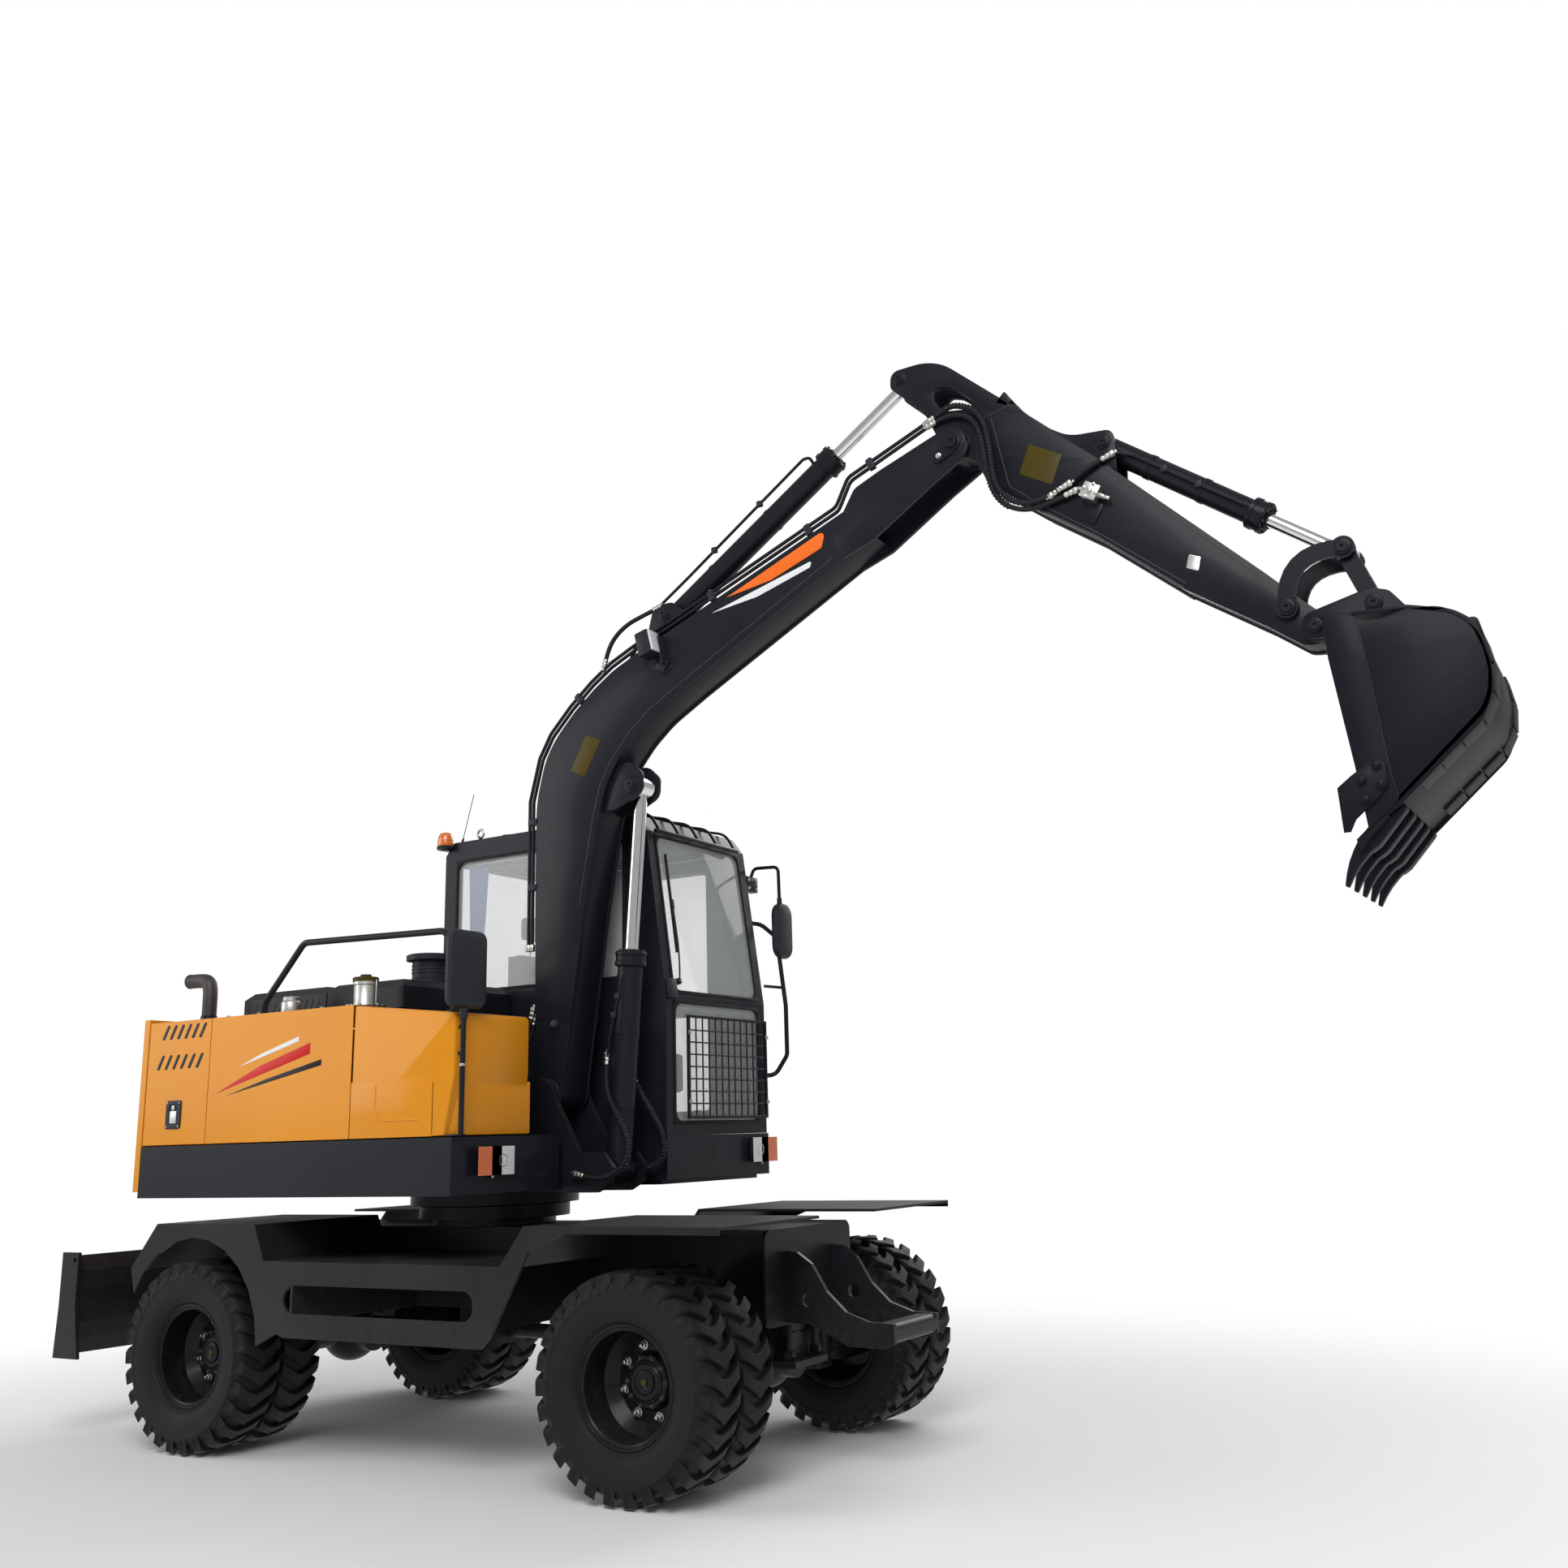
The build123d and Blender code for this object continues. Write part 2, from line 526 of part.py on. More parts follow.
panels = block(mid_rear_x + panel_gap / 2, tank_rear_x - panel_gap / 2, side_right, side_right + panel_sheet,
               panel_seam_z + panel_gap, panel_top)
panels += block(mid_rear_x + panel_gap / 2, tank_rear_x - panel_gap / 2, side_right, -560, panel_top - panel_sheet,
                panel_top)
panels += block(mid_rear_x + panel_gap / 2, mid_rear_x + 30, side_right, -560, panel_seam_z + panel_gap, panel_top)
left_panel = block(mid_rear_x + panel_gap / 2, cab_rear_x - 12, side_left - panel_sheet, side_left,
                   panel_seam_z + panel_gap, panel_top)
left_panel += block(mid_rear_x + panel_gap / 2, cab_rear_x - 12, 700, side_left, panel_top - panel_sheet, panel_top)
left_panel += block(cab_rear_x - 16, cab_rear_x - 12, 700, side_left, panel_seam_z + panel_gap, panel_top)
tail_panel = block(tail_side_x + 2, hood_rear_x - panel_gap, side_right + 50, side_left - 50, panel_top - panel_sheet,
                   panel_top)
tail_panel -= block(weight_front_x - 400, weight_front_x + 2, -weight_half - 2, weight_half + 2, panel_top - 10,
                    panel_top + 10)
keep("service_panels", Compound(children=[panels, left_panel, tail_panel]))

tank = block(tank_rear_x + panel_gap / 2, tank_front_x, side_right, tank_inner_y, panel_seam_z + panel_gap, 1945)
tank = fillet(tank.edges().filter_by(Axis.Z).sort_by(Axis.X)[-2:], 30)
toolbox = block(tank_front_x + 1, toolbox_front_x + 20, side_right + 80, toolbox_inner_y, panel_seam_z + panel_gap, toolbox_top)
keep("tank_and_toolbox", Compound(children=[tank, toolbox]))

hood_z = 2160
hood_sheet = 14
hood_half = 690


def raised_cover(x0, x1, y0, y1):
    """Pressed cover with bevelled top edges, open below."""
    outside = block(x0, x1, y0, y1, panel_top + 8, hood_z)
    outside = chamfer(outside.faces().sort_by(Axis.Z)[-1].edges(), 36)
    inside = block(x0 + hood_sheet, x1 - hood_sheet, y0 + hood_sheet, y1 - hood_sheet, panel_top, hood_z - hood_sheet)
    inside = chamfer(inside.faces().sort_by(Axis.Z)[-1].edges(), 36)
    return outside - inside


hood_hinge = (hood_rear_x + 4, panel_top + 35)
hood = raised_cover(hood_rear_x, cab_rear_x - 20, -hood_half, hood_half)
for side in (-1, 1):
    hood += cross(hood_hinge, 8, side * 460 - 60, side * 460 + 60)
keep("hood", hood)
keep("deck_cover", raised_cover(cab_rear_x - 12, tank_rear_x - 20, -hood_half, cab_right_y - 22))


def service_door(y, inward):
    """Side door: a folded sheet, hinged at its rear edge."""
    face = block(door_rear_x + panel_gap, mid_rear_x - panel_gap / 2, y, y + inward * panel_sheet,
                 panel_seam_z + panel_gap, panel_top)
    rim_points = [
        # x0, x1, z0, z1
        (door_rear_x + panel_gap, door_rear_x + panel_gap + 4, panel_seam_z + panel_gap, panel_top),
        (mid_rear_x - panel_gap / 2 - 4, mid_rear_x - panel_gap / 2, panel_seam_z + panel_gap, panel_top),
        (door_rear_x + panel_gap, mid_rear_x - panel_gap / 2, panel_top - 4, panel_top),
        (door_rear_x + panel_gap, mid_rear_x - panel_gap / 2, panel_seam_z + panel_gap, panel_seam_z + panel_gap + 4)]
    for x0, x1, z0, z1 in rim_points:
        face += block(x0, x1, y, y + inward * 40, z0, z1)
    return face


keep("side_door_right", service_door(side_right, 1))
keep("side_door_left", service_door(side_left, -1))

rail_y = -900
rail = pipe([(-1040, rail_y, panel_top + 1), (-1040, rail_y, panel_top + 60), (-773, rail_y, 2352), (170, rail_y, 2326),
             (230, rail_y, 2200), (230, rail_y, 1946)], 16, 40)

fittings = [
    pipe([(-1620, -780, panel_top + 21), (-1620, -780, panel_top + 170), (-1740, -780, panel_top + 240)], 42, 70),
    rod((-450, -360, hood_z + 1), (-450, -360, hood_z + 80), 62) + rod((-450, -360, hood_z + 80),
                                                                      (-450, -360, hood_z + 104), 84),
    rod((-400, -840, panel_top + 1), (-400, -840, panel_top + 140), 42),
    rod((-930, -840, panel_top + 1), (-930, -840, panel_top + 44), 40)]
keep("deck_fittings", Compound(children=fittings))

lamps = []
for y0, y1, x in ((-1000, -850, front_right_x), (880, 1030, cab_base_front_x)):
    lamps.append(block(x, x + 60, y0, y1, 1235, 1340))
keep("corner_lamps", Compound(children=lamps))

mirror_y = side_right + 25
mirror_right = rod((front_right_x + 30, mirror_y, panel_seam_z + 2), (front_right_x + 30, mirror_y, 2000), 13)
mirror_right += block(front_right_x + 10, front_right_x + 50, mirror_y - 110, mirror_y + 100, 1930, 2300)
mirror_right += block(front_right_x - 20, front_right_x + 44, mirror_y - 16, mirror_y + 16, panel_seam_z, panel_seam_z + 10)
left_rail_y = side_left + 70
mirror_left = pipe([(560, side_left + 12, 2840), (640, left_rail_y, 2840), (780, left_rail_y, 2640), (780, left_rail_y, 1790),
                    (700, left_rail_y - 30, 1680), (640, side_left + 12, 1680)], 11, 26)
mirror_left += block(770, 806, left_rail_y - 60, left_rail_y + 110, 2317, 2611)
keep("rails_and_mirrors", Compound(children=[rail, mirror_right, mirror_left]))

# ---- cab ----------------------------------------------------------------------------------------
cab_outline = [
    # side view, x and z
    (cab_rear_x, cab_floor_z), (cab_front_x, cab_floor_z), (cab_front_x, cab_waist_z - 80), (roof_front_x + 30, cab_top_z - 90),
    (roof_front_x - 40, cab_top_z), (cab_rear_x + 60, cab_top_z), (cab_rear_x, cab_top_z - 70)]
inset_outline = [
    (cab_rear_x + cab_wall, cab_floor_z + 30), (cab_front_x - cab_wall, cab_floor_z + 30),
    (cab_front_x - cab_wall, cab_waist_z - 86), (roof_front_x - 14, cab_top_z - 96),
    (roof_front_x - 60, cab_top_z - cab_wall), (cab_rear_x + 78, cab_top_z - cab_wall),
    (cab_rear_x + cab_wall, cab_top_z - 90)]
shell = sheet_xz(cab_outline, cab_right_y, cab_left_y)
shell -= sheet_xz(inset_outline, cab_right_y + cab_wall, cab_left_y - cab_wall)
window_low = 2165
window_high = cab_top_z - 110
side_windows = [
    # x0, x1, z0, z1, through the right wall
    (cab_rear_x + 90, -60, window_low, window_high), (20, 430, window_low, window_high)]
for x0, x1, z0, z1 in side_windows:
    shell -= block(x0, x1, cab_right_y - 1, cab_right_y + cab_wall + 1, z0, z1)
shell -= block(cab_rear_x - 1, cab_rear_x + cab_wall + 1, cab_right_y + 90, cab_left_y - 90, window_low, window_high)
shell -= block(cab_front_x - cab_wall - 60, cab_front_x + 1, cab_right_y + 70, cab_left_y - 70, 1440, cab_waist_z - 110)
shell -= sheet_xz([(cab_front_x + 40, cab_waist_z - 60), (cab_front_x - 90, cab_waist_z - 60),
                   (roof_front_x - 80, cab_top_z - 110), (roof_front_x + 90, cab_top_z - 110)],
                  cab_right_y + 70, cab_left_y - 70)
shell -= block(cab_door_rear_x, cab_door_front_x, cab_left_y - cab_wall - 1, cab_left_y + 1, cab_floor_z + 20, cab_top_z - 90)
shell -= block(cab_rear_x + 90, cab_door_rear_x - 70, cab_left_y - cab_wall - 1, cab_left_y + 1, window_low, window_high)
cab_base = block(cab_rear_x, cab_base_front_x, cab_right_y - 12, side_left, deck_z + deck_plate, cab_floor_z - 1)
cab_base -= block(cab_rear_x + 10, cab_base_front_x - 10, cab_right_y - 2, side_left - 10, deck_z + deck_plate - 1, cab_floor_z - 10)
keep("cab_base", cab_base)
keep("cab_shell", shell)

panes = []
for x0, x1, z0, z1 in side_windows:
    panes.append(block(x0, x1, cab_right_y + 12, cab_right_y + 12 + glass, z0, z1))
keep("cab_glass", Compound(children=panes))

door = block(cab_door_rear_x + door_gap, cab_door_front_x - door_gap, cab_left_y - cab_wall, cab_left_y,
             cab_floor_z + 20 + door_gap, cab_top_z - 90 - door_gap)
door -= block(cab_door_rear_x + 70, cab_door_front_x - 70, cab_left_y - cab_wall - 1, cab_left_y + 1, 2100, cab_top_z - 170)
door -= block(cab_door_rear_x + 70, cab_door_front_x - 70, cab_left_y - cab_wall - 1, cab_left_y + 1, 1500, 2030)
keep("cab_door", door)
door_glass = [
    block(cab_door_rear_x + 70, cab_door_front_x - 70, cab_left_y - 26, cab_left_y - 20, z0, z1)
    for z0, z1 in ((2100, cab_top_z - 170), (1500, 2030))]
keep("cab_door_glass", Compound(children=door_glass))

seat = block(-500, 20, 370, 830, 1830, 1940)
seat += block(-600, -480, 380, 820, 1900, 2560)
seat += block(-460, -60, 420, 780, cab_floor_z + 31, 1832)
keep("seat", seat)
console = rod((330, 600, cab_floor_z + 34), (300, 600, 2080), 34)
console += Plane((290, 600, 2100), z_dir=(0.35, 0, 1)) * Torus(170, 12)
console += Plane((290, 600, 2100), z_dir=(0.35, 0, 1)) * Box(330, 40, 14)
for side in (-1, 1):
    console += block(-420, 60, 600 + side * 290 - 50, 600 + side * 290 + 50, cab_floor_z + 31, 2000)
keep("controls", console)
keep("curtain", block(-700, -560, cab_right_y + cab_wall + 4, cab_right_y + cab_wall + 34, window_low, window_high - 20))

guard_x = cab_front_x + 12
guard = block(guard_x, guard_x + 14, 270, 1010, 1457, 1967) - block(guard_x - 1, guard_x + 15, 284, 996, 1471, 1953)
for i in range(1, 12):
    y = 284 + i * (996 - 284) / 12
    guard += rod((guard_x + 7, y, 1465), (guard_x + 7, y, 1960), 4)
for i in range(1, 8):
    z = 1471 + i * (1953 - 1471) / 8
    guard += rod((guard_x + 7, 275, z), (guard_x + 7, 1005, z), 4)
keep("front_guard", guard)
roof_kit = block(-600, 400, 250, 890, cab_top_z + 1, cab_top_z + 22)
roof_kit += rod((-740, 560, cab_top_z + 1), (-740, 560, cab_top_z + 110), 48)
keep("roof_fittings", roof_kit)


# ---- boom -----------------------------------------------------------------------------------------
def plate_pair(outline_points, inner, thickness):
    """Two like plates, one each side of the arm's middle plane."""
    pair = sheet_xz(outline_points, arm_y + inner, arm_y + inner + thickness)
    return pair + sheet_xz(outline_points, arm_y - inner - thickness, arm_y - inner)


boom_top_line = [(128, 1640), (112, 2520), (112, 3057), (165, 3267), (230, 3375), (354, 3500), (486, 3605), (605, 3680), (744, 3740), (1971, 4215)]
boom_low_line = [(2120, 4068), (1040, 3512), (838, 3401), (722, 3307), (626, 3200), (556, 3083), (510, 2927), (425, 2486), (300, 1640)]
boom_foot_round = arc_points(boom_foot, 92, 20, -200, 8)
boom_outline = boom_top_line + boom_low_line + boom_foot_round
boom = sheet_xz(boom_outline, arm_y - boom_width / 2, arm_y + boom_width / 2)
core_top = [(160, 1740), (140, 2520), (142, 3050), (190, 3250), (252, 3350), (372, 3472), (500, 3574), (612, 3644), (756, 3706), (2000, 4185)]
core_low = [(2140, 4100), (1028, 3544), (822, 3434), (700, 3338), (600, 3230), (528, 3095), (482, 2933), (398, 2492), (282, 1740)]
boom -= sheet_xz(core_top + core_low, arm_y - boom_width / 2 + boom_plate, arm_y + boom_width / 2 - boom_plate)
head_outline = [(1900, 4100), (2032, 4315), (2173, 4373), (2476, 4478), (stick_pin[0] + 40, stick_pin[1] + 66),
                (stick_pin[0] + 80, stick_pin[1]), (stick_pin[0] + 40, 4300), (2120, 4040), (1960, 3985)]
boom += plate_pair(head_outline, boom_width / 2 - fork_plate, fork_plate)
boom -= cross(stick_pin, pin_radius + pin_fit, arm_y - boom_width, arm_y + boom_width)
boom -= cross(boom_foot, 40, arm_y - boom_width, arm_y + boom_width)
ear = [(500, 2960), (520, 3160), (720, 3190), (760, 3110), (755, 3040), (700, 3000), (600, 2960)]
boom += plate_pair(ear, 62, 20)
arm_base = [(780, 3740), (840, 3960), (arm_cyl_base[0] - 20, arm_cyl_base[1] + 56), (arm_cyl_base[0] + 50, arm_cyl_base[1] + 30),
            (1080, 3880), (1080, 3850)]
boom += plate_pair(arm_base, 66, 20)
boom -= cross(arm_cyl_base, cylinder_pin + pin_fit, arm_y - 100, arm_y + 100)
keep("boom", boom)

tubes = []
for y, count in ((-98, 9), (98, 9), (-40, 7), (40, 7)):
    route = [(88, 2300), (86, 3064), (144, 3280), (212, 3394), (340, 3520), (472, 3626), (594, 3703), (736, 3765),
             (1860, 4200)]
    tubes.append(pipe([(x, arm_y + y, z) for x, z in route[:count]], 9, 60))
keep("boom_pipes", Compound(children=tubes))


# ---- stick and linkage ---------------------------------------------------------------------------------
stick_top = [(2240, 4850), (2342, 4870), (2431, 4852), (2533, 4798), (2628, 4728), (2791, 4590), (2905, 4464), (3204, 4174), (3858, 3494), (3990, 3350)]
stick_low = [(4090, 3240), (4040, 3160), (3980, 3166), (3845, 3270), (3525, 3500), (3177, 3810), (2918, 4000), (2700, 4180), (2640, 4330), (2480, 4340), (2460, 4480), (2225, 4790)]
stick = sheet_xz(stick_top + stick_low, arm_y - stick_width / 2, arm_y + stick_width / 2)
stick -= sheet_xz([(2100, 4900), (2342, 4900), (2560, 4760), (2500, 4540), (2400, 4600), (2100, 4700)],
                  arm_y - stick_width / 2 + 22, arm_y + stick_width / 2 - 22)
stick -= sheet_xz([(2500, 4500), (2500, 4740), (2628, 4690), (2791, 4545), (3190, 4150), (3840, 3470), (3860, 3300), (3525, 3540), (3190, 3840), (2940, 4035), (2760, 4230)],
                  arm_y - stick_width / 2 + 10, arm_y + stick_width / 2 - 10)
stick += cross(bucket_pin, 56, arm_y - 105, arm_y + 105)
base_ear = [(3040, 4300), (3200, 4290), (bucket_cyl_base[0] + 10, bucket_cyl_base[1] + 46), (bucket_cyl_base[0] + 50, bucket_cyl_base[1]), (3290, 4090), (3160, 4190)]
stick += plate_pair(base_ear, 60, 18)
stick += cross(stick_pin, pin_radius, arm_y - boom_width / 2, arm_y + boom_width / 2)
stick -= cross(bucket_cyl_base, small_pin + pin_fit, arm_y - 120, arm_y + 120)
stick -= cross(rocker_pin, 22 + pin_fit, arm_y - 120, arm_y + 120)
stick -= cross(bucket_pin, 26 + pin_fit, arm_y - 120, arm_y + 120)
keep("stick", stick)

rocker_inner = stick_width / 2 + 5
rocker_plate = 18
(ux, uz), rocker_reach = lean(rocker_pin, rocker_top)
bulge = 88
bow = [along(rocker_pin, rocker_top, rocker_reach * t / 8, bulge * (1 - (t / 4 - 1) ** 2)) for t in range(9)]


def crescent(line, half):
    """Band of even width along a bowed line."""
    upper, lower = [], []
    for i, (x, z) in enumerate(line):
        x0, z0 = line[max(i - 1, 0)]
        x1, z1 = line[min(i + 1, len(line) - 1)]
        (dx, dz), _ = lean((x0, z0), (x1, z1))
        upper.append((x - dz * half, z + dx * half))
        lower.append((x + dz * half, z - dx * half))
    return upper + list(reversed(lower))


rocker = plate_pair(crescent(bow, 34), rocker_inner, rocker_plate)
for point in (rocker_pin, rocker_top):
    for side in (-1, 1):
        a = arm_y + side * rocker_inner
        b = arm_y + side * (rocker_inner + rocker_plate)
        rocker += cross(point, 46, min(a, b), max(a, b))
rocker += cross(rocker_pin, 22, arm_y - rocker_inner - rocker_plate, arm_y + rocker_inner + rocker_plate)
keep("rocker", rocker)

link_inner = 60
link_thick = 20
link = Part()
(lx, lz), link_reach = lean(link_pin, rocker_top)
for side in (-1, 1):
    a, b = sorted((arm_y + side * link_inner, arm_y + side * (link_inner + link_thick)))
    bar = sheet_xz([along(link_pin, rocker_top, 0, 34), along(link_pin, rocker_top, link_reach, 34),
                    along(link_pin, rocker_top, link_reach, -34), along(link_pin, rocker_top, 0, -34)], a, b)
    link += bar + cross(rocker_top, 44, a, b)
link += sheet_xz([along(link_pin, rocker_top, 40, 20), along(link_pin, rocker_top, 130, 20),
                  along(link_pin, rocker_top, 130, -20), along(link_pin, rocker_top, 40, -20)],
                 arm_y - link_inner - 1, arm_y + link_inner + 1)
link += cross(link_pin, 46, arm_y - 105, arm_y + 105)
link -= cross(link_pin, 24 + pin_fit, arm_y - 120, arm_y + 120)
keep("bucket_link", link)

# ---- bucket ------------------------------------------------------------------------------------------
side_outline = [(4094, 3185), (4209, 3178), (4393, 3170), (4547, 3122), (4605, 3075), (4654, 2957), (4665, 2881), (4648, 2797), (4613, 2729),
                (4547, 2664), (4288, 2448), (4173, 2360)]
shell_outer = [(4209, 3172), (4393, 3164), (4547, 3116), (4605, 3070), (4654, 2957), (4665, 2881), (4648, 2797), (4613, 2729), (4547, 2664), (4288, 2448), (4150, 2333)]
shell_inner = [(4158, 2352), (4280, 2462), (4538, 2678), (4602, 2740), (4634, 2803), (4650, 2881), (4640, 2952), (4592, 3060), (4539, 3101), (4390, 3148), (4209, 3156)]
bucket = sheet_xz(shell_outer + shell_inner, arm_y - bucket_width / 2, arm_y + bucket_width / 2)
for side in (-1, 1):
    a, b = sorted((arm_y + side * bucket_width / 2, arm_y + side * (bucket_width / 2 - 14)))
    bucket += sheet_xz(side_outline, a, b)
bucket += sheet_xz([(4130, 2330), (4165, 2360), (4230, 2420), (4250, 2400), (4140, 2290)], arm_y - bucket_width / 2, arm_y + bucket_width / 2)
for i in range(5):
    y = arm_y - 310 + i * 155
    bucket += sheet_xz([(4150, 2345), (4230, 2395), (4215, 2330), (4130, 2180), (4090, 2178), (4092, 2230)], y - 30, y + 30)
bucket_ear = [(4150, 3168), (bucket_pin[0] + 40, bucket_pin[1] - 48), (bucket_pin[0] - 30, bucket_pin[1] - 44), (bucket_pin[0] - 54, bucket_pin[1]),
              (bucket_pin[0] - 20, bucket_pin[1] + 52), (link_pin[0], link_pin[1] + 58), (link_pin[0] + 60, link_pin[1]), (4420, 3160), (4300, 3150)]
ear_inner = 111
bucket += plate_pair(bucket_ear, ear_inner, 25)
bucket += cross(bucket_pin, 26, arm_y - ear_inner - 25, arm_y + ear_inner + 25)
bucket += cross(link_pin, 24, arm_y - ear_inner - 25, arm_y + ear_inner + 25)
keep("bucket", bucket)


# ---- cylinders ------------------------------------------------------------------------------------------
def ram(name, base, eye, size, y=arm_y):
    """Barrel and rod of one cylinder, from its base pin to its rod eye."""
    a = (base[0], y, base[1])
    eye_radius = size["eye"]
    barrel = size["barrel"]
    end = along(base, eye, barrel)
    collar = along(base, eye, barrel - 70)
    body = rod(a, (end[0], y, end[1]), size["tube"])
    body += rod((collar[0], y, collar[1]), (end[0], y, end[1]), size["tube"] + 12)
    body -= cross(base, eye_radius, y - size["tube"] * 2, y + size["tube"] * 2)
    body += cross(base, eye_radius, y - size["base_half"], y + size["base_half"])
    start = along(base, eye, eye_radius + 30)
    past = along(base, eye, barrel + 1)
    body -= rod((start[0], y, start[1]), (past[0], y, past[1]), size["rod"] + 3)
    body += cross(base, size["pin"], y - size["pin_half"], y + size["pin_half"])
    keep(f"{name}_barrel", body)
    inside = along(base, eye, eye_radius + 40 + size["stroke_in"])
    tip = along(base, eye, lean(base, eye)[1] - eye_radius + 6)
    shaft = rod((inside[0], y, inside[1]), (tip[0], y, tip[1]), size["rod"])
    shaft += cross(eye, eye_radius, y - size["eye_half"], y + size["eye_half"])
    shaft += cross(eye, size["pin"], y - size["stub_half"], y + size["stub_half"])
    keep(f"{name}_rod", shaft)


rams = [
    # name, base pin, rod eye, middle plane, sizes
    ("boom_cylinder", boom_cyl_foot, boom_cyl_head, arm_y,
     dict(tube=62, rod=34, barrel=1030, eye=52, pin=cylinder_pin, base_half=62, pin_half=lug_gap + lug_plate,
          eye_half=44, stub_half=54, stroke_in=660)),
    ("arm_cylinder", arm_cyl_base, arm_cyl_eye, arm_y,
     dict(tube=58, rod=32, barrel=1160, eye=48, pin=cylinder_pin, base_half=58, pin_half=86, eye_half=40,
          stub_half=54, stroke_in=400)),
    ("bucket_cylinder", bucket_cyl_base, rocker_top, arm_y,
     dict(tube=52, rod=29, barrel=800, eye=40, pin=small_pin, base_half=52, pin_half=78, eye_half=34,
          stub_half=54, stroke_in=195)),
    ("blade_cylinder", blade_cyl_base, blade_cyl_eye, 0,
     dict(tube=46, rod=25, barrel=330, eye=40, pin=ram_pin_radius, base_half=46, pin_half=84, eye_half=36,
          stub_half=56, stroke_in=80))]
for name, base, eye, y, size in rams:
    ram(name, base, eye, size, y)

print(len(made), "pieces written")
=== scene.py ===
import bpy
import math
from mathutils import Matrix, Vector


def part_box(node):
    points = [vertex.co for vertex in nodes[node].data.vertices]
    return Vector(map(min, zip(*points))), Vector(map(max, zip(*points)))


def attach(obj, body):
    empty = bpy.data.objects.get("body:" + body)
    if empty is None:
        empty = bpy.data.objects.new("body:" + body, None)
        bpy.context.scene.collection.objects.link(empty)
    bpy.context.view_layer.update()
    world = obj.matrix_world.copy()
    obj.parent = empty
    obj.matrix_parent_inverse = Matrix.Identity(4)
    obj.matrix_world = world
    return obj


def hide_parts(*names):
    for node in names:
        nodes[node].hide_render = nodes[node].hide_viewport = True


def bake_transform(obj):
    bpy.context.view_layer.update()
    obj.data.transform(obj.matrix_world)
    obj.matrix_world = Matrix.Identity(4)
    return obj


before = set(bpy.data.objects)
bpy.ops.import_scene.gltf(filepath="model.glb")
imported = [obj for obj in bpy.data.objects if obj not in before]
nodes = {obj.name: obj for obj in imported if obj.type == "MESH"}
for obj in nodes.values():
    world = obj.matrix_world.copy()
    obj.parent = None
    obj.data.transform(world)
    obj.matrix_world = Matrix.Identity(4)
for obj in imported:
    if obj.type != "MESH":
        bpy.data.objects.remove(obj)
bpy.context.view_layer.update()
print("frame loaded:", len(nodes), "nodes")

# ---- camera and lights

camera = {
    "place": (5.1058, -6.064, 1.3687),
    "yaw": -0.536,      # radians, from +Y towards +X
    "pitch": 0.2507,
    "roll": -0.0292,
    "lens": 34.62,       # on a 36 mm sensor
    "shift": (-0.0025, -0.023),
}


def addCamera(facts):
    yaw, pitch, roll = facts["yaw"], facts["pitch"], facts["roll"]
    forward = Vector((math.sin(yaw) * math.cos(pitch), math.cos(yaw) * math.cos(pitch), math.sin(pitch)))
    level = Vector((math.cos(yaw), -math.sin(yaw), 0))
    above = level.cross(forward)
    right = level * math.cos(roll) + above * math.sin(roll)
    up = above * math.cos(roll) - level * math.sin(roll)
    bpy.ops.object.camera_add(location=facts["place"])
    cam = bpy.context.object
    turn = Matrix((right, up, -forward)).transposed()
    cam.rotation_euler = turn.to_euler()
    cam.data.lens = facts["lens"]
    cam.data.sensor_width = 36
    cam.data.shift_x, cam.data.shift_y = facts["shift"]
    cam.data.clip_end = 400
    bpy.context.scene.camera = cam


addCamera(camera)

lights = [
    # name, place, aim, size, power
    ("keyLamp", (5.2, -9.4, 9.5), (0.2, 0, 1.4), 6.0, 900),
    ("fillLamp", (-9.0, -7.0, 5.0), (-0.4, 0, 1.2), 7.0, 380),
    ("rimLamp", (1.0, 10.0, 8.0), (0.5, 0, 2.0), 7.0, 600),
]
for name, place, aim, size, power in lights:
    bpy.ops.object.light_add(type="AREA", location=place)
    lamp = bpy.context.object
    lamp.name = name
    lamp.data.shape = "SQUARE"
    lamp.data.size = size
    lamp.data.energy = power
    lamp.rotation_euler = (Vector(aim) - Vector(place)).to_track_quat("-Z", "Y").to_euler()
bpy.context.scene.view_settings.view_transform = "Standard"
print("camera and lamps made")

# ---- shader kit: arithmetic on a wire adds Math nodes


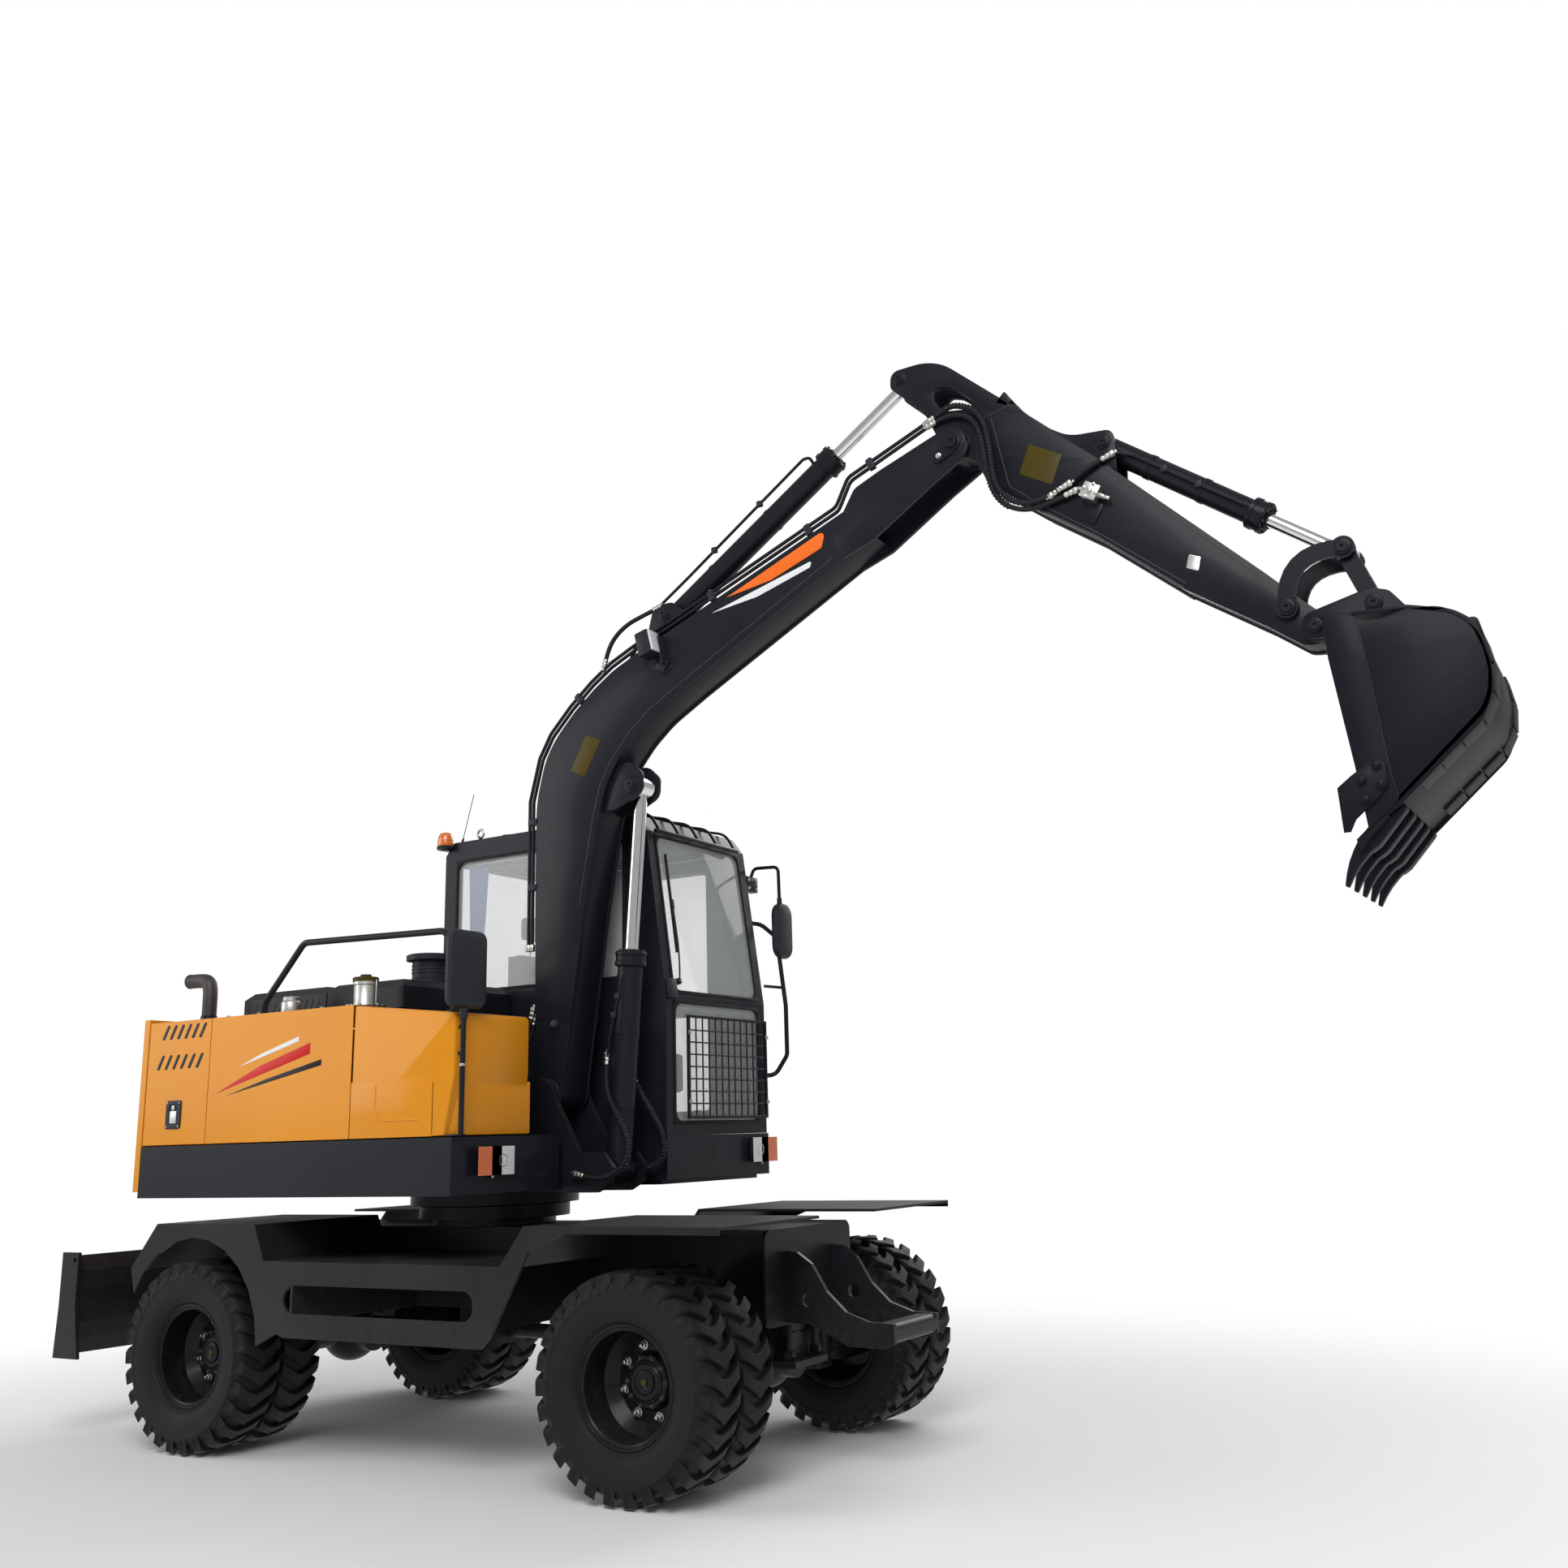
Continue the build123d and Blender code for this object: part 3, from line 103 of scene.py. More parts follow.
class Wire:
    def __init__(self, tree, socket):
        self.tree, self.socket = tree, socket

    def node(self, kind, settings=None, links=None, out=0):
        made = self.tree.nodes.new(kind)
        for name, value in (settings or {}).items():
            if name == "stops":
                ramp = made.color_ramp
                while len(ramp.elements) < len(value):
                    ramp.elements.new(0.5)
                for element, (place, shade) in zip(ramp.elements, value):
                    element.position = place
                    element.color = (*shade, 1)
            else:
                setattr(made, name, value)
        for name, value in (links or {}).items():
            if isinstance(value, Wire):
                self.tree.links.new(value.socket, made.inputs[name])
            else:
                made.inputs[name].default_value = value
        return Wire(self.tree, made.outputs[out])

    def math(self, operation, first, second=0.0):
        return self.node("ShaderNodeMath", {"operation": operation}, {0: first, 1: second})

    def __add__(self, other):
        return self.math("ADD", self, other)

    __radd__ = __add__

    def __sub__(self, other):
        return self.math("SUBTRACT", self, other)

    def __rsub__(self, other):
        return self.math("SUBTRACT", other, self)

    def __mul__(self, other):
        return self.math("MULTIPLY", self, other)

    __rmul__ = __mul__

    def ramp(self, low, high):
        # 0 below low, 1 above high
        return self.node(
            "ShaderNodeMapRange", {"interpolation_type": "SMOOTHSTEP"},
            {"Value": self, "From Min": low, "From Max": high})

    def sine(self):
        return self.math("SINE", self)

    def axis(self, name):
        return self.node("ShaderNodeSeparateXYZ", {}, {0: self}, out=name)

    def stretch(self, scale):
        return self.node("ShaderNodeMapping", {}, {"Vector": self, "Scale": scale})

    def noise(self, scale, detail=2.0, roughness=0.5):
        return self.node(
            "ShaderNodeTexNoise", {},
            {"Vector": self, "Scale": scale, "Detail": detail, "Roughness": roughness}, out="Fac")

    def cells(self, scale):
        return self.node("ShaderNodeTexVoronoi", {}, {"Vector": self, "Scale": scale}, out="Distance")

    def blend(self, first, second):
        # colour mix by this wire's value
        first, second = [(*c, 1) if isinstance(c, tuple) and len(c) == 3 else c for c in (first, second)]
        return self.node(
            "ShaderNodeMix", {"data_type": "RGBA"}, {"Factor": self, 6: first, 7: second}, out=2)

    def bump(self, strength, distance, normal=None):
        links = {"Strength": strength, "Distance": distance, "Height": self}
        if normal:
            links["Normal"] = normal
        return self.node("ShaderNodeBump", {}, links)

    def facing(self):
        # the surface's own normal, not the view
        return self.node("ShaderNodeNewGeometry", out="Normal")

    def softEdge(self, radius):
        # normal rounded over sharp edges, and a mask of those edges
        rounded = self.node("ShaderNodeBevel", {"samples": 4}, {"Radius": radius})
        level = self.node(
            "ShaderNodeVectorMath", {"operation": "DOT_PRODUCT"}, {0: rounded, 1: self.facing()},
            out="Value")
        return rounded, (1 - level).ramp(0.02, 0.25)


def newMaterial(name, **constants):
    # returns the material, its shader and a wire of Object coordinates
    material = bpy.data.materials.new(name)
    material.use_nodes = True
    tree = material.node_tree
    shader = tree.nodes["Principled BSDF"]
    for socket, value in constants.items():
        shader.inputs[socket.replace("_", " ")].default_value = value
    place = Wire(tree, tree.nodes.new("ShaderNodeTexCoord").outputs["Object"])
    return material, shader, place


def feed(shader, **wires):
    for socket, wire in wires.items():
        wire.tree.links.new(wire.socket, shader.inputs[socket.replace("_", " ")])


def paint(name, colour, lighter, dust=0.12, roughness=0.36, coat=0.06, edge=0.004):
    # sprayed machine paint: orange peel, faint mottling, dust low down and on ledges, and paler edges that
    # are a painted highlight where sharp edges catch the light, with a little wear
    material, shader, place = newMaterial(
        name, Coat_Weight=coat, Coat_Roughness=0.12, Specular_IOR_Level=0.14)
    rounded, edges = place.softEdge(edge)
    mottle = place.noise(1.7, 4.0, 0.6)
    fine = place.noise(38.0, 3.0)
    height = place.axis("Z")
    flat = place.facing().axis("Z")
    low = 1 - height.ramp(0.2, 1.3)
    dusty = (flat.ramp(0.3, 0.95) * 0.7 + low * 0.5) * (mottle * 0.6 + fine * 0.6).ramp(0.38, 0.8) * dust
    shade = mottle.ramp(0.25, 0.75).blend(colour, lighter)
    # paler edges: painted highlight along sharp edges, with a little wear
    shade = (edges * 0.35).blend(shade, tuple(min(1.0, c * 1.8 + 0.02) for c in colour))
    shade = dusty.blend(shade, (0.3, 0.26, 0.21))
    rough = roughness + (mottle - 0.5) * 0.16 + dusty * 0.9 + (fine - 0.5) * 0.06
    peel = place.noise(210.0, 2.0)
    feed(shader, Base_Color=shade, Roughness=rough, Normal=peel.bump(0.06, 0.002, rounded))
    return material


def rubber(name, colour=(0.0085, 0.0095, 0.0105), grain=160.0):
    # tyre rubber: dull, with patches of dust and a fine skin
    material, shader, place = newMaterial(name, Specular_IOR_Level=0.18)
    cloud = place.noise(5.0, 5.0, 0.62)
    speck = place.noise(60.0, 4.0)
    dusty = (cloud * 0.7 + speck * 0.5).ramp(0.5, 0.85)
    shade = (dusty * 0.22).blend(colour, (0.026, 0.025, 0.024))
    rough = 0.56 + dusty * 0.22
    skin = place.noise(grain, 3.0) * 0.6 + place.cells(90.0) * 0.4
    feed(shader, Base_Color=shade, Roughness=rough, Normal=skin.bump(0.12, 0.002))
    return material


def metal(name, colour, roughness=0.25, scale=(1, 1, 40), wear=0.25, metallic=1.0):
    # bare or plated steel with faint lengthwise or turned marks
    material, shader, place = newMaterial(name, Metallic=metallic)
    marks = place.stretch(scale).noise(30.0, 3.0)
    cloud = place.noise(9.0, 4.0)
    shade = (cloud.ramp(0.35, 0.8) * wear).blend(colour, tuple(c * 0.55 for c in colour))
    rough = roughness + (marks - 0.5) * 0.12 + cloud * 0.06
    feed(shader, Base_Color=shade, Roughness=rough, Normal=marks.bump(0.04, 0.001))
    return material


def plastic(name, colour, roughness=0.5, grain=420.0):
    # moulded plastic with a leather-like grain
    material, shader, place = newMaterial(name, Specular_IOR_Level=0.2)
    cloud = place.noise(4.0, 3.0)
    shade = cloud.ramp(0.3, 0.8).blend(colour, tuple(c * 1.25 + 0.002 for c in colour))
    skin = place.cells(grain)
    feed(shader, Base_Color=shade, Roughness=roughness + (cloud - 0.5) * 0.12, Normal=skin.bump(0.12, 0.001))
    return material


def glassPane(name, tint=(0.93, 0.97, 0.97), alpha=0.22):
    # thin glazing: mostly clear, with a film of dust and a clean mirror skin
    material, shader, place = newMaterial(name, Specular_IOR_Level=0.6, Coat_Weight=0.3)
    film = place.noise(2.2, 4.0)
    feed(
        shader, Base_Color=film.blend(tint, (0.8, 0.84, 0.84)), Alpha=alpha + (film - 0.5) * 0.1,
        Roughness=0.03 + film * 0.05)
    return material


def cloth(name, colour, darker, threads=900.0):
    # woven cloth: warp and weft in Object coordinates
    material, shader, place = newMaterial(name, Sheen_Weight=0.25)
    warp = (place.axis("X") * threads).sine()
    weft = (place.axis("Z") * threads).sine()
    weave = (warp * weft) * 0.5 + 0.5
    cloud = place.noise(14.0, 4.0)
    shade = (weave * 0.5 + cloud * 0.5).blend(darker, colour)
    feed(shader, Base_Color=shade, Roughness=0.9 - weave * 0.08, Normal=weave.bump(0.25, 0.0006))
    return material


def lens(name, colour, ribs=700.0):
    # moulded lamp lens with fine prisms
    material, shader, place = newMaterial(name, Coat_Weight=0.6, Coat_Roughness=0.04, Specular_IOR_Level=0.6)
    prisms = (place.axis("Z") * ribs).sine() * 0.5 + 0.5
    cross = (place.axis("Y") * ribs).sine() * 0.5 + 0.5
    shade = (prisms * 0.5 + cross * 0.5).blend(tuple(c * 0.62 for c in colour), colour)
    feed(shader, Base_Color=shade, Roughness=0.12 + prisms * 0.05, Normal=(prisms + cross).bump(0.4, 0.001))
    return material


charcoal = paint("charcoalPaint", (0.0085, 0.01, 0.015), (0.012, 0.014, 0.02))
chassisPaint = paint("chassisPaint", (0.0085, 0.01, 0.0125), (0.013, 0.015, 0.018), dust=0.1, roughness=0.4)
armPaint = paint("armPaint", (0.008, 0.0088, 0.013), (0.011, 0.012, 0.017), dust=0.03, roughness=0.38)
yellowPaint = paint(
    "yellowPaint", (0.66, 0.245, 0.008), (0.7, 0.27, 0.012), dust=0.03, roughness=0.3, coat=0.16)
bucketPaint = paint(
    "bucketPaint", (0.0035, 0.0048, 0.0085), (0.0055, 0.0068, 0.011), dust=0.03, roughness=0.46, coat=0.02)
wearBand = paint(
    "wearBandPaint", (0.02, 0.02, 0.021), (0.026, 0.026, 0.027), dust=0.05, roughness=0.5, coat=0.0)
rimPaint = paint("rimPaint", (0.0045, 0.0055, 0.0075), (0.007, 0.008, 0.01), dust=0.05, roughness=0.32)
tyreRubber = rubber("tyreRubber")
hoseRubber = rubber("hoseRubber", (0.014, 0.015, 0.017), 300.0)
sealRubber = rubber("sealRubber", (0.01, 0.01, 0.011), 300.0)
chrome = metal("chromeRod", (0.78, 0.79, 0.8), 0.1, (1, 1, 1), 0.15)
zinc = metal("zincPlate", (0.56, 0.55, 0.51), 0.32, (1, 1, 1), 0.5)
alloy = metal("castAlloy", (0.62, 0.62, 0.6), 0.38, (1, 1, 1), 0.4)
exhaustSteel = metal("exhaustSteel", (0.075, 0.068, 0.066), 0.55, (1, 1, 1), 0.7, 0.7)
engineIron = metal("engineIron", (0.05, 0.05, 0.055), 0.6, (1, 1, 1), 0.6, 0.4)
blackPlastic = plastic("blackPlastic", (0.016, 0.018, 0.024), 0.42)
cabPlastic = plastic("cabPlastic", (0.045, 0.047, 0.052), 0.55)
headLining = plastic("headLining", (0.11, 0.115, 0.12), 0.8, 200.0)
clearGlass = glassPane("clearGlass")
mirrorGlass = metal("mirrorGlass", (0.8, 0.83, 0.86), 0.03, (1, 1, 1), 0.0)
curtainCloth = cloth("curtainCloth", (0.035, 0.13, 0.46), (0.012, 0.06, 0.26))
seatCloth = cloth("seatCloth", (0.03, 0.031, 0.036), (0.014, 0.015, 0.018), 700.0)
clearLens = lens("clearLens", (0.86, 0.88, 0.88))
amberLens = lens("amberLens", (0.85, 0.16, 0.02))
beaconLens = lens("beaconLens", (0.9, 0.2, 0.02), 300.0)
plateYellow = paint(
    "plateYellow", (0.055, 0.04, 0.003), (0.065, 0.047, 0.004), dust=0.05, roughness=0.45, edge=0.001)
stripeOrange = paint("stripeOrange", (0.8, 0.14, 0.015), (0.84, 0.16, 0.02), dust=0.03, edge=0.001)
stripeWhite = paint("stripeWhite", (0.72, 0.73, 0.74), (0.76, 0.77, 0.78), dust=0.03, edge=0.001)
stripeRed = paint("stripeRed", (0.52, 0.016, 0.014), (0.56, 0.02, 0.016), dust=0.03, edge=0.001)
# pale grey for weld beads and thin strips along plate edges: a painted highlight where seams and edges catch
# the light
seamAndEdgeHighlightGrey = paint(
    "seamAndEdgeHighlightGrey", (0.05, 0.052, 0.058), (0.065, 0.067, 0.072), dust=0.02, roughness=0.42, edge=0.001)
# black of the printed stripe, also used as painted shade in speaker holes, louvre slots and the exhaust
# mouth
blackStripeAndPaintedShade = paint("blackStripeAndPaintedShade", (0.012, 0.012, 0.014), (0.015, 0.015, 0.018), dust=0.03, edge=0.001)

finishes = [
    # material, nodes; all others are charcoal
    (yellowPaint, "counterweight service_panels tank_and_toolbox side_door_left side_door_right"),
    (tyreRubber, "tyres_front_left tyres_front_right tyres_rear_left tyres_rear_right"),
    (rimPaint, "rims_front_left rims_front_right rims_rear_left rims_rear_right"),
    (clearGlass, "cab_glass cab_door_glass"),
    (chrome, "boom_cylinder_rod arm_cylinder_rod bucket_cylinder_rod blade_cylinder_rod steering_rod"),
    (armPaint, "boom boom_pipes stick rocker bucket_link boom_cylinder_barrel arm_cylinder_barrel"
               " bucket_cylinder_barrel"),
    (bucketPaint, "bucket"),
    (chassisPaint, "chassis_frame side_frames front_bracket front_axle rear_axle drive_line"
                   " axle_lock_cylinders turntable_base knuckle_left knuckle_right"
                   " blade blade_cylinder_barrel"),
    (cabPlastic, "controls"),
    (seatCloth, "seat"),
    (curtainCloth, "curtain"),
    (clearLens, "corner_lamps"),
    (engineIron, "engine_block"),
]
paintOf = {name: material for material, names in finishes for name in names.split()}
for name in sorted(nodes):
    nodes[name].data.materials.clear()
    nodes[name].data.materials.append(paintOf.get(name, charcoal))
print("materials made:", len(bpy.data.materials))

# ---- modelling kit: each helper leaves one finished mesh with its place in it


def startFresh():
    if bpy.context.object and bpy.context.object.mode != "OBJECT":
        bpy.ops.object.mode_set(mode="OBJECT")
    bpy.ops.object.select_all(action="DESELECT")


def pick(kind, parts, test):
    # into edit mode with only the chosen faces or edges selected
    bpy.ops.object.mode_set(mode="EDIT")
    bpy.ops.mesh.select_mode(type=kind)
    bpy.ops.mesh.select_all(action="DESELECT")
    bpy.ops.object.mode_set(mode="OBJECT")
    for part in parts:
        part.select = test(part)
    bpy.ops.object.mode_set(mode="EDIT")


def pickFaces(made, test):
    pick("FACE", made.data.polygons, test)


def pickEdges(made, test):
    places = made.data.vertices
    pick("EDGE", made.data.edges, lambda edge: test(*(places[i].co for i in edge.vertices)))


def soften(made, width, segments=2):
    # small round on every sharp edge
    edge = made.modifiers.new("edge", "BEVEL")
    edge.width, edge.segments = width, segments
    edge.limit_method, edge.angle_limit = "ANGLE", math.radians(35)
    bpy.ops.object.modifier_apply(modifier="edge")


def settle(material, edge=0.0, smooth=40, segments=2):
    # place goes into the mesh, faces turn outwards, sharp edges are rounded
    made = bpy.context.object
    bpy.ops.object.transform_apply(location=True, rotation=True, scale=True)
    bpy.ops.object.mode_set(mode="EDIT")
    bpy.ops.mesh.select_all(action="SELECT")
    bpy.ops.mesh.remove_doubles(threshold=1e-5)
    bpy.ops.mesh.delete_loose()
    bpy.ops.mesh.select_all(action="SELECT")
    bpy.ops.mesh.normals_make_consistent(inside=False)
    bpy.ops.object.mode_set(mode="OBJECT")
    if edge:
        soften(made, edge, segments)
    bpy.ops.object.shade_smooth_by_angle(angle=math.radians(smooth))
    made.data.materials.clear()
    made.data.materials.append(material)
    return made


def block(material, size, place, edge=0.003, turn=(0, 0, 0)):
    startFresh()
    bpy.ops.mesh.primitive_cube_add(size=1, location=place, rotation=turn, scale=size)
    return settle(material, edge)


def bar(material, radius, start, end, sides=20, edge=0.0015):
    startFresh()
    start, end = Vector(start), Vector(end)
    turn = (end - start).to_track_quat("Z", "Y").to_euler()
    bpy.ops.mesh.primitive_cylinder_add(
        vertices=sides, radius=radius, depth=(end - start).length, location=(start + end) / 2, rotation=turn)
    return settle(material, edge, 50)


def turned(material, profile, centre, axis, steps=48, smooth=40):
    # profile: radius and distance along the axis, one closed line round the wall
    startFresh()
    bpy.ops.mesh.primitive_circle_add(vertices=len(profile), radius=1)
    made = bpy.context.object
    for vertex, (radius, rise) in zip(made.data.vertices, profile):
        vertex.co = (radius, 0, rise)
    bpy.ops.object.mode_set(mode="EDIT")
    bpy.ops.mesh.select_all(action="SELECT")
    bpy.ops.mesh.spin(steps=steps, angle=2 * math.pi, center=(0, 0, 0), axis=(0, 0, 1))
    bpy.ops.object.mode_set(mode="OBJECT")
    made.rotation_euler = Vector(axis).to_track_quat("Z", "Y").to_euler()
    made.location = centre
    return settle(material, 0, smooth)


def rounded(corners, steps=4):
    # corners are (u, v) or (u, v, radius); round ones become short arcs
    line = []
    for i, corner in enumerate(corners):
        here = Vector(corner[:2])
        if len(corner) == 2:
            line.append(tuple(here))
            continue
        before = Vector(corners[i - 1][:2]) - here
        after = Vector(corners[(i + 1) % len(corners)][:2]) - here
        half = before.angle(after) / 2
        cut = min(corner[2] / math.tan(half), before.length * 0.48, after.length * 0.48)
        before.normalize()
        after.normalize()
        centre = here + (before + after).normalized() * (cut / math.cos(half))
        first = here + before * cut - centre
        last = here + after * cut - centre
        sweep = first.angle_signed(last)
        for k in range(steps + 1):
            turn = -sweep * k / steps
            line.append((
                centre.x + first.x * math.cos(turn) - first.y * math.sin(turn),
                centre.y + first.x * math.sin(turn) + first.y * math.cos(turn)))
    return line


def boxLine(u0, u1, v0, v1, *radius):
    # corners of a rectangle, rounded if a radius is given
    return [(u, v, *radius) for u, v in ((u0, v0), (u1, v0), (u1, v1), (u0, v1))]


planeTurns = {"XZ": (math.pi / 2, 0, 0), "YZ": (math.pi / 2, 0, math.pi / 2), "XY": (0, 0, 0)}
planeNormals = {"XZ": Vector((0, -1, 0)), "YZ": Vector((1, 0, 0)), "XY": Vector((0, 0, 1))}


def flatPlate(material, outlines, plane, level, thick, edge=0.0015):
    # a plate cut to its rounded outline, further outlines are holes; level is its middle on the third axis
    startFresh()
    bpy.ops.curve.primitive_nurbs_path_add(radius=1)
    made = bpy.context.object
    shape = made.data
    shape.splines.clear()
    for outline in map(rounded, outlines):
        line = shape.splines.new("POLY")
        line.points.add(len(outline) - 1)
        for point, (u, v) in zip(line.points, outline):
            point.co = (u, v, 0, 1)
        line.use_cyclic_u = True
    shape.dimensions, shape.fill_mode = "2D", "BOTH"
    shape.extrude = thick / 2 - edge
    shape.bevel_depth, shape.offset, shape.bevel_resolution = edge, -edge, 1
    bpy.ops.object.convert(target="MESH")
    made = bpy.context.object
    made.rotation_euler = planeTurns[plane]
    made.location = tuple(abs(c) * level for c in planeNormals[plane])
    return settle(material, 0, 35)


def routeLine(points):
    # points read from the route's own smooth spline
    shape = bpy.data.curves.new("route", "CURVE")
    shape.dimensions = "3D"
    line = shape.splines.new("NURBS")
    line.points.add(len(points) - 1)
    for point, place in zip(line.points, points):
        point.co = (*place, 1)
    line.order_u = 3
    line.use_endpoint_u = True
    line.resolution_u = 12
    holder = bpy.data.objects.new("route", shape)
    bpy.context.collection.objects.link(holder)
    bpy.context.view_layer.update()
    mesh = bpy.data.meshes.new_from_object(holder)
    path = [vertex.co.copy() for vertex in mesh.vertices]
    bpy.data.objects.remove(holder)
    return path


def tube(material, path, radius, sides=12):
    # round tube along close points, its ends closed
    startFresh()
    bpy.ops.curve.primitive_nurbs_path_add(radius=1)
    shape = bpy.context.object.data
    shape.splines.clear()
    line = shape.splines.new("POLY")
    line.points.add(len(path) - 1)
    for point, place in zip(line.points, path):
        point.co = (*place, 1)
    shape.bevel_depth, shape.bevel_resolution = radius, sides // 4
    shape.use_fill_caps = True
    bpy.ops.object.convert(target="MESH")
    return settle(material, 0, 50)


def copyOf(piece, move):
    twin = piece.copy()
    twin.data = piece.data.copy()
    bpy.context.collection.objects.link(twin)
    twin.data.transform(move)
    return twin


def melded(parts):
    # several meshes become the first one
    startFresh()
    for part in parts:
        part.select_set(True)
    bpy.context.view_layer.objects.active = parts[0]
    if len(parts) > 1:
        bpy.ops.object.join()
    return bpy.context.object


def joined(name, body, parts):
    whole = melded(parts)
    whole.name = whole.data.name = name
    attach(whole, body)
    return whole


def lookAlong(direction, place):
    # matrix that stands a piece modelled up +Z at place, pointing along direction
    return Matrix.Translation(place) @ Vector(direction).to_track_quat("Z", "Y").to_matrix().to_4x4()


def hexBolt(material, across):
    # washer, hexagon head with a raised top; modelled up +Z from the face that it clamps
    startFresh()
    bpy.ops.mesh.primitive_cylinder_add(
        vertices=20, radius=across * 0.72, depth=across * 0.12, location=(0, 0, across * 0.06))
    washer = settle(material, across * 0.03)
    startFresh()
    bpy.ops.mesh.primitive_cylinder_add(
        vertices=6, radius=across * 0.577, depth=across * 0.42, location=(0, 0, across * 0.33))
    head = bpy.context.object
    pickFaces(head, lambda face: face.normal.z > 0.9)
    bpy.ops.mesh.inset(thickness=across * 0.09)
    bpy.ops.transform.translate(value=(0, 0, across * 0.05))
    bpy.ops.object.mode_set(mode="OBJECT")
    head = settle(material, across * 0.025)
    return melded([head, washer])


def boltAt(material, across, direction, place):
    bolt = hexBolt(material, across)
    bolt.data.transform(lookAlong(direction, place))
    return bolt


def boltRow(name, body, material, across, sites):
    # sites: place and direction of each bolt
    first = hexBolt(material, across)
    heads = [copyOf(first, lookAlong(direction, place)) for place, direction in sites]
    bpy.data.objects.remove(first)
    return joined(name, body, heads)


# ---- tyres: smooth carcass and nested chevron lugs

tyreFacts = {
    "tipRadius": 0.4325,
    "width": 0.234,
    "gap": 0.005,
    "lugs": 27,
    "sweep": 0.068,        # how far a lug's tip lies round the tyre from its shoulders
    "shoulderWidth": 0.054,
    "middleWidth": 0.044,
    "footRadius": 0.361,   # foot of the lugs' outer ends, at the ridge on the sidewall
    "slot": (0.015, 0.009),  # inset and depth of the pocket in each outer end
}
tyreHalf = [
    # radius, distance in from the outer face
    (0.2175, 0.044), (0.235, 0.0385), (0.242, 0.03), (0.248, 0.024), (0.2505, 0.0225), (0.253, 0.0235),
    (0.27, 0.0135), (0.292, 0.007), (0.318, 0.004), (0.342, 0.0038), (0.352, 0.003), (0.3545, 0.0008),
    (0.359, 0.0008), (0.3615, 0.0032), (0.372, 0.0085), (0.385, 0.015), (0.396, 0.024), (0.403, 0.038),
    (0.407, 0.062), (0.4085, 0.1)]


def chevronLug():
    # one V from shoulder to shoulder at the top of the tyre, its tip towards +X
    facts = tyreFacts
    half = facts["width"] / 2
    startFresh()
    bpy.ops.mesh.primitive_cube_add(size=2)
    lug = bpy.context.object
    pickEdges(lug, lambda a, b: abs(a.x - b.x) > 1)
    bpy.ops.mesh.subdivide(number_cuts=9)
    bpy.ops.object.mode_set(mode="OBJECT")
    for vertex in lug.data.vertices:
        across, v, w = vertex.co
        u = 1 - abs(across)    # 0 at the shoulders, 1 in the middle
        wide = facts["shoulderWidth"] * (1 - u) + facts["middleWidth"] * u
        lean = facts["sweep"] * u ** 0.9 + (0.01 * v * u ** 6)
        radius = facts["tipRadius"] - 0.0006 - 0.01 * (1 - u) ** 5
        inset = u * half
        if u < 1e-6:
            inset = 0.0085 if w > 0 else 0.0012
        if w < 0:
            radius = facts["footRadius"] if u < 1e-6 else 0.3985
            wide *= 1.14
        angle = (lean + v * wide / 2) / facts["tipRadius"]
        vertex.co = (radius * math.sin(angle), math.copysign(half - inset, across), radius * math.cos(angle))
    reach = max(face.center.y for face in lug.data.polygons)
    pickFaces(lug, lambda face: abs(face.center.y) > reach - 1e-6)
    bpy.ops.mesh.inset(thickness=facts["slot"][0])
    bpy.ops.object.mode_set(mode="OBJECT")
    for vertex in lug.data.vertices:
        if vertex.select:
            vertex.co.y -= math.copysign(facts["slot"][1], vertex.co.y)
    return settle(tyreRubber, 0.0022, 40, 1)


def oneTyre():
    # centred on the origin, turning about Y
    facts = tyreFacts
    half = facts["width"] / 2
    profile = [(radius, half - inset) for radius, inset in tyreHalf]
    profile += [(radius, -y) for radius, y in reversed(profile)]
    carcass = turned(tyreRubber, profile, (0, 0, 0), (0, 1, 0), 108, 30)
    pitch = 2 * math.pi / facts["lugs"]
    parts = [carcass]
    lug = chevronLug()
    for i in range(facts["lugs"]):
        parts.append(copyOf(lug, Matrix.Rotation(i * pitch, 4, "Y")))
    bpy.data.objects.remove(lug)
    return melded(parts)


def dressTyres():
    facts = tyreFacts
    model = oneTyre()
    for corner in ("front_left", "front_right", "rear_left", "rear_right"):
        low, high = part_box("tyres_" + corner)
        x, z = (low[0] + high[0]) / 2, (low[2] + high[2]) / 2
        side = 1 if high[1] > 0 else -1
        outerFace = high[1] if side > 0 else low[1]
        pair = []
        for k in (0, 1):
            y = outerFace - side * (facts["width"] / 2 + k * (facts["width"] + facts["gap"]))
            pair.append(copyOf(model, Matrix.Translation((x, y, z)) @ Matrix.Rotation(k * 0.09, 4, "Y")))
        whole = joined("tread_" + corner, "wheels_" + corner, pair)
        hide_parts("tyres_" + corner)
    bpy.data.objects.remove(model)


dressTyres()
print("tyres made")

# ---- hydraulic hoses: route points are given, ends go into fittings

hoseFacts = {
    "radius": 0.0115,
    "guardWire": 0.0032,    # flat of the spiral guard
    "guardPitch": 0.017,
    "crimp": (0.015, 0.042),  # radius and length of the sleeve on each hose end
    "nutAcross": 0.03,
}


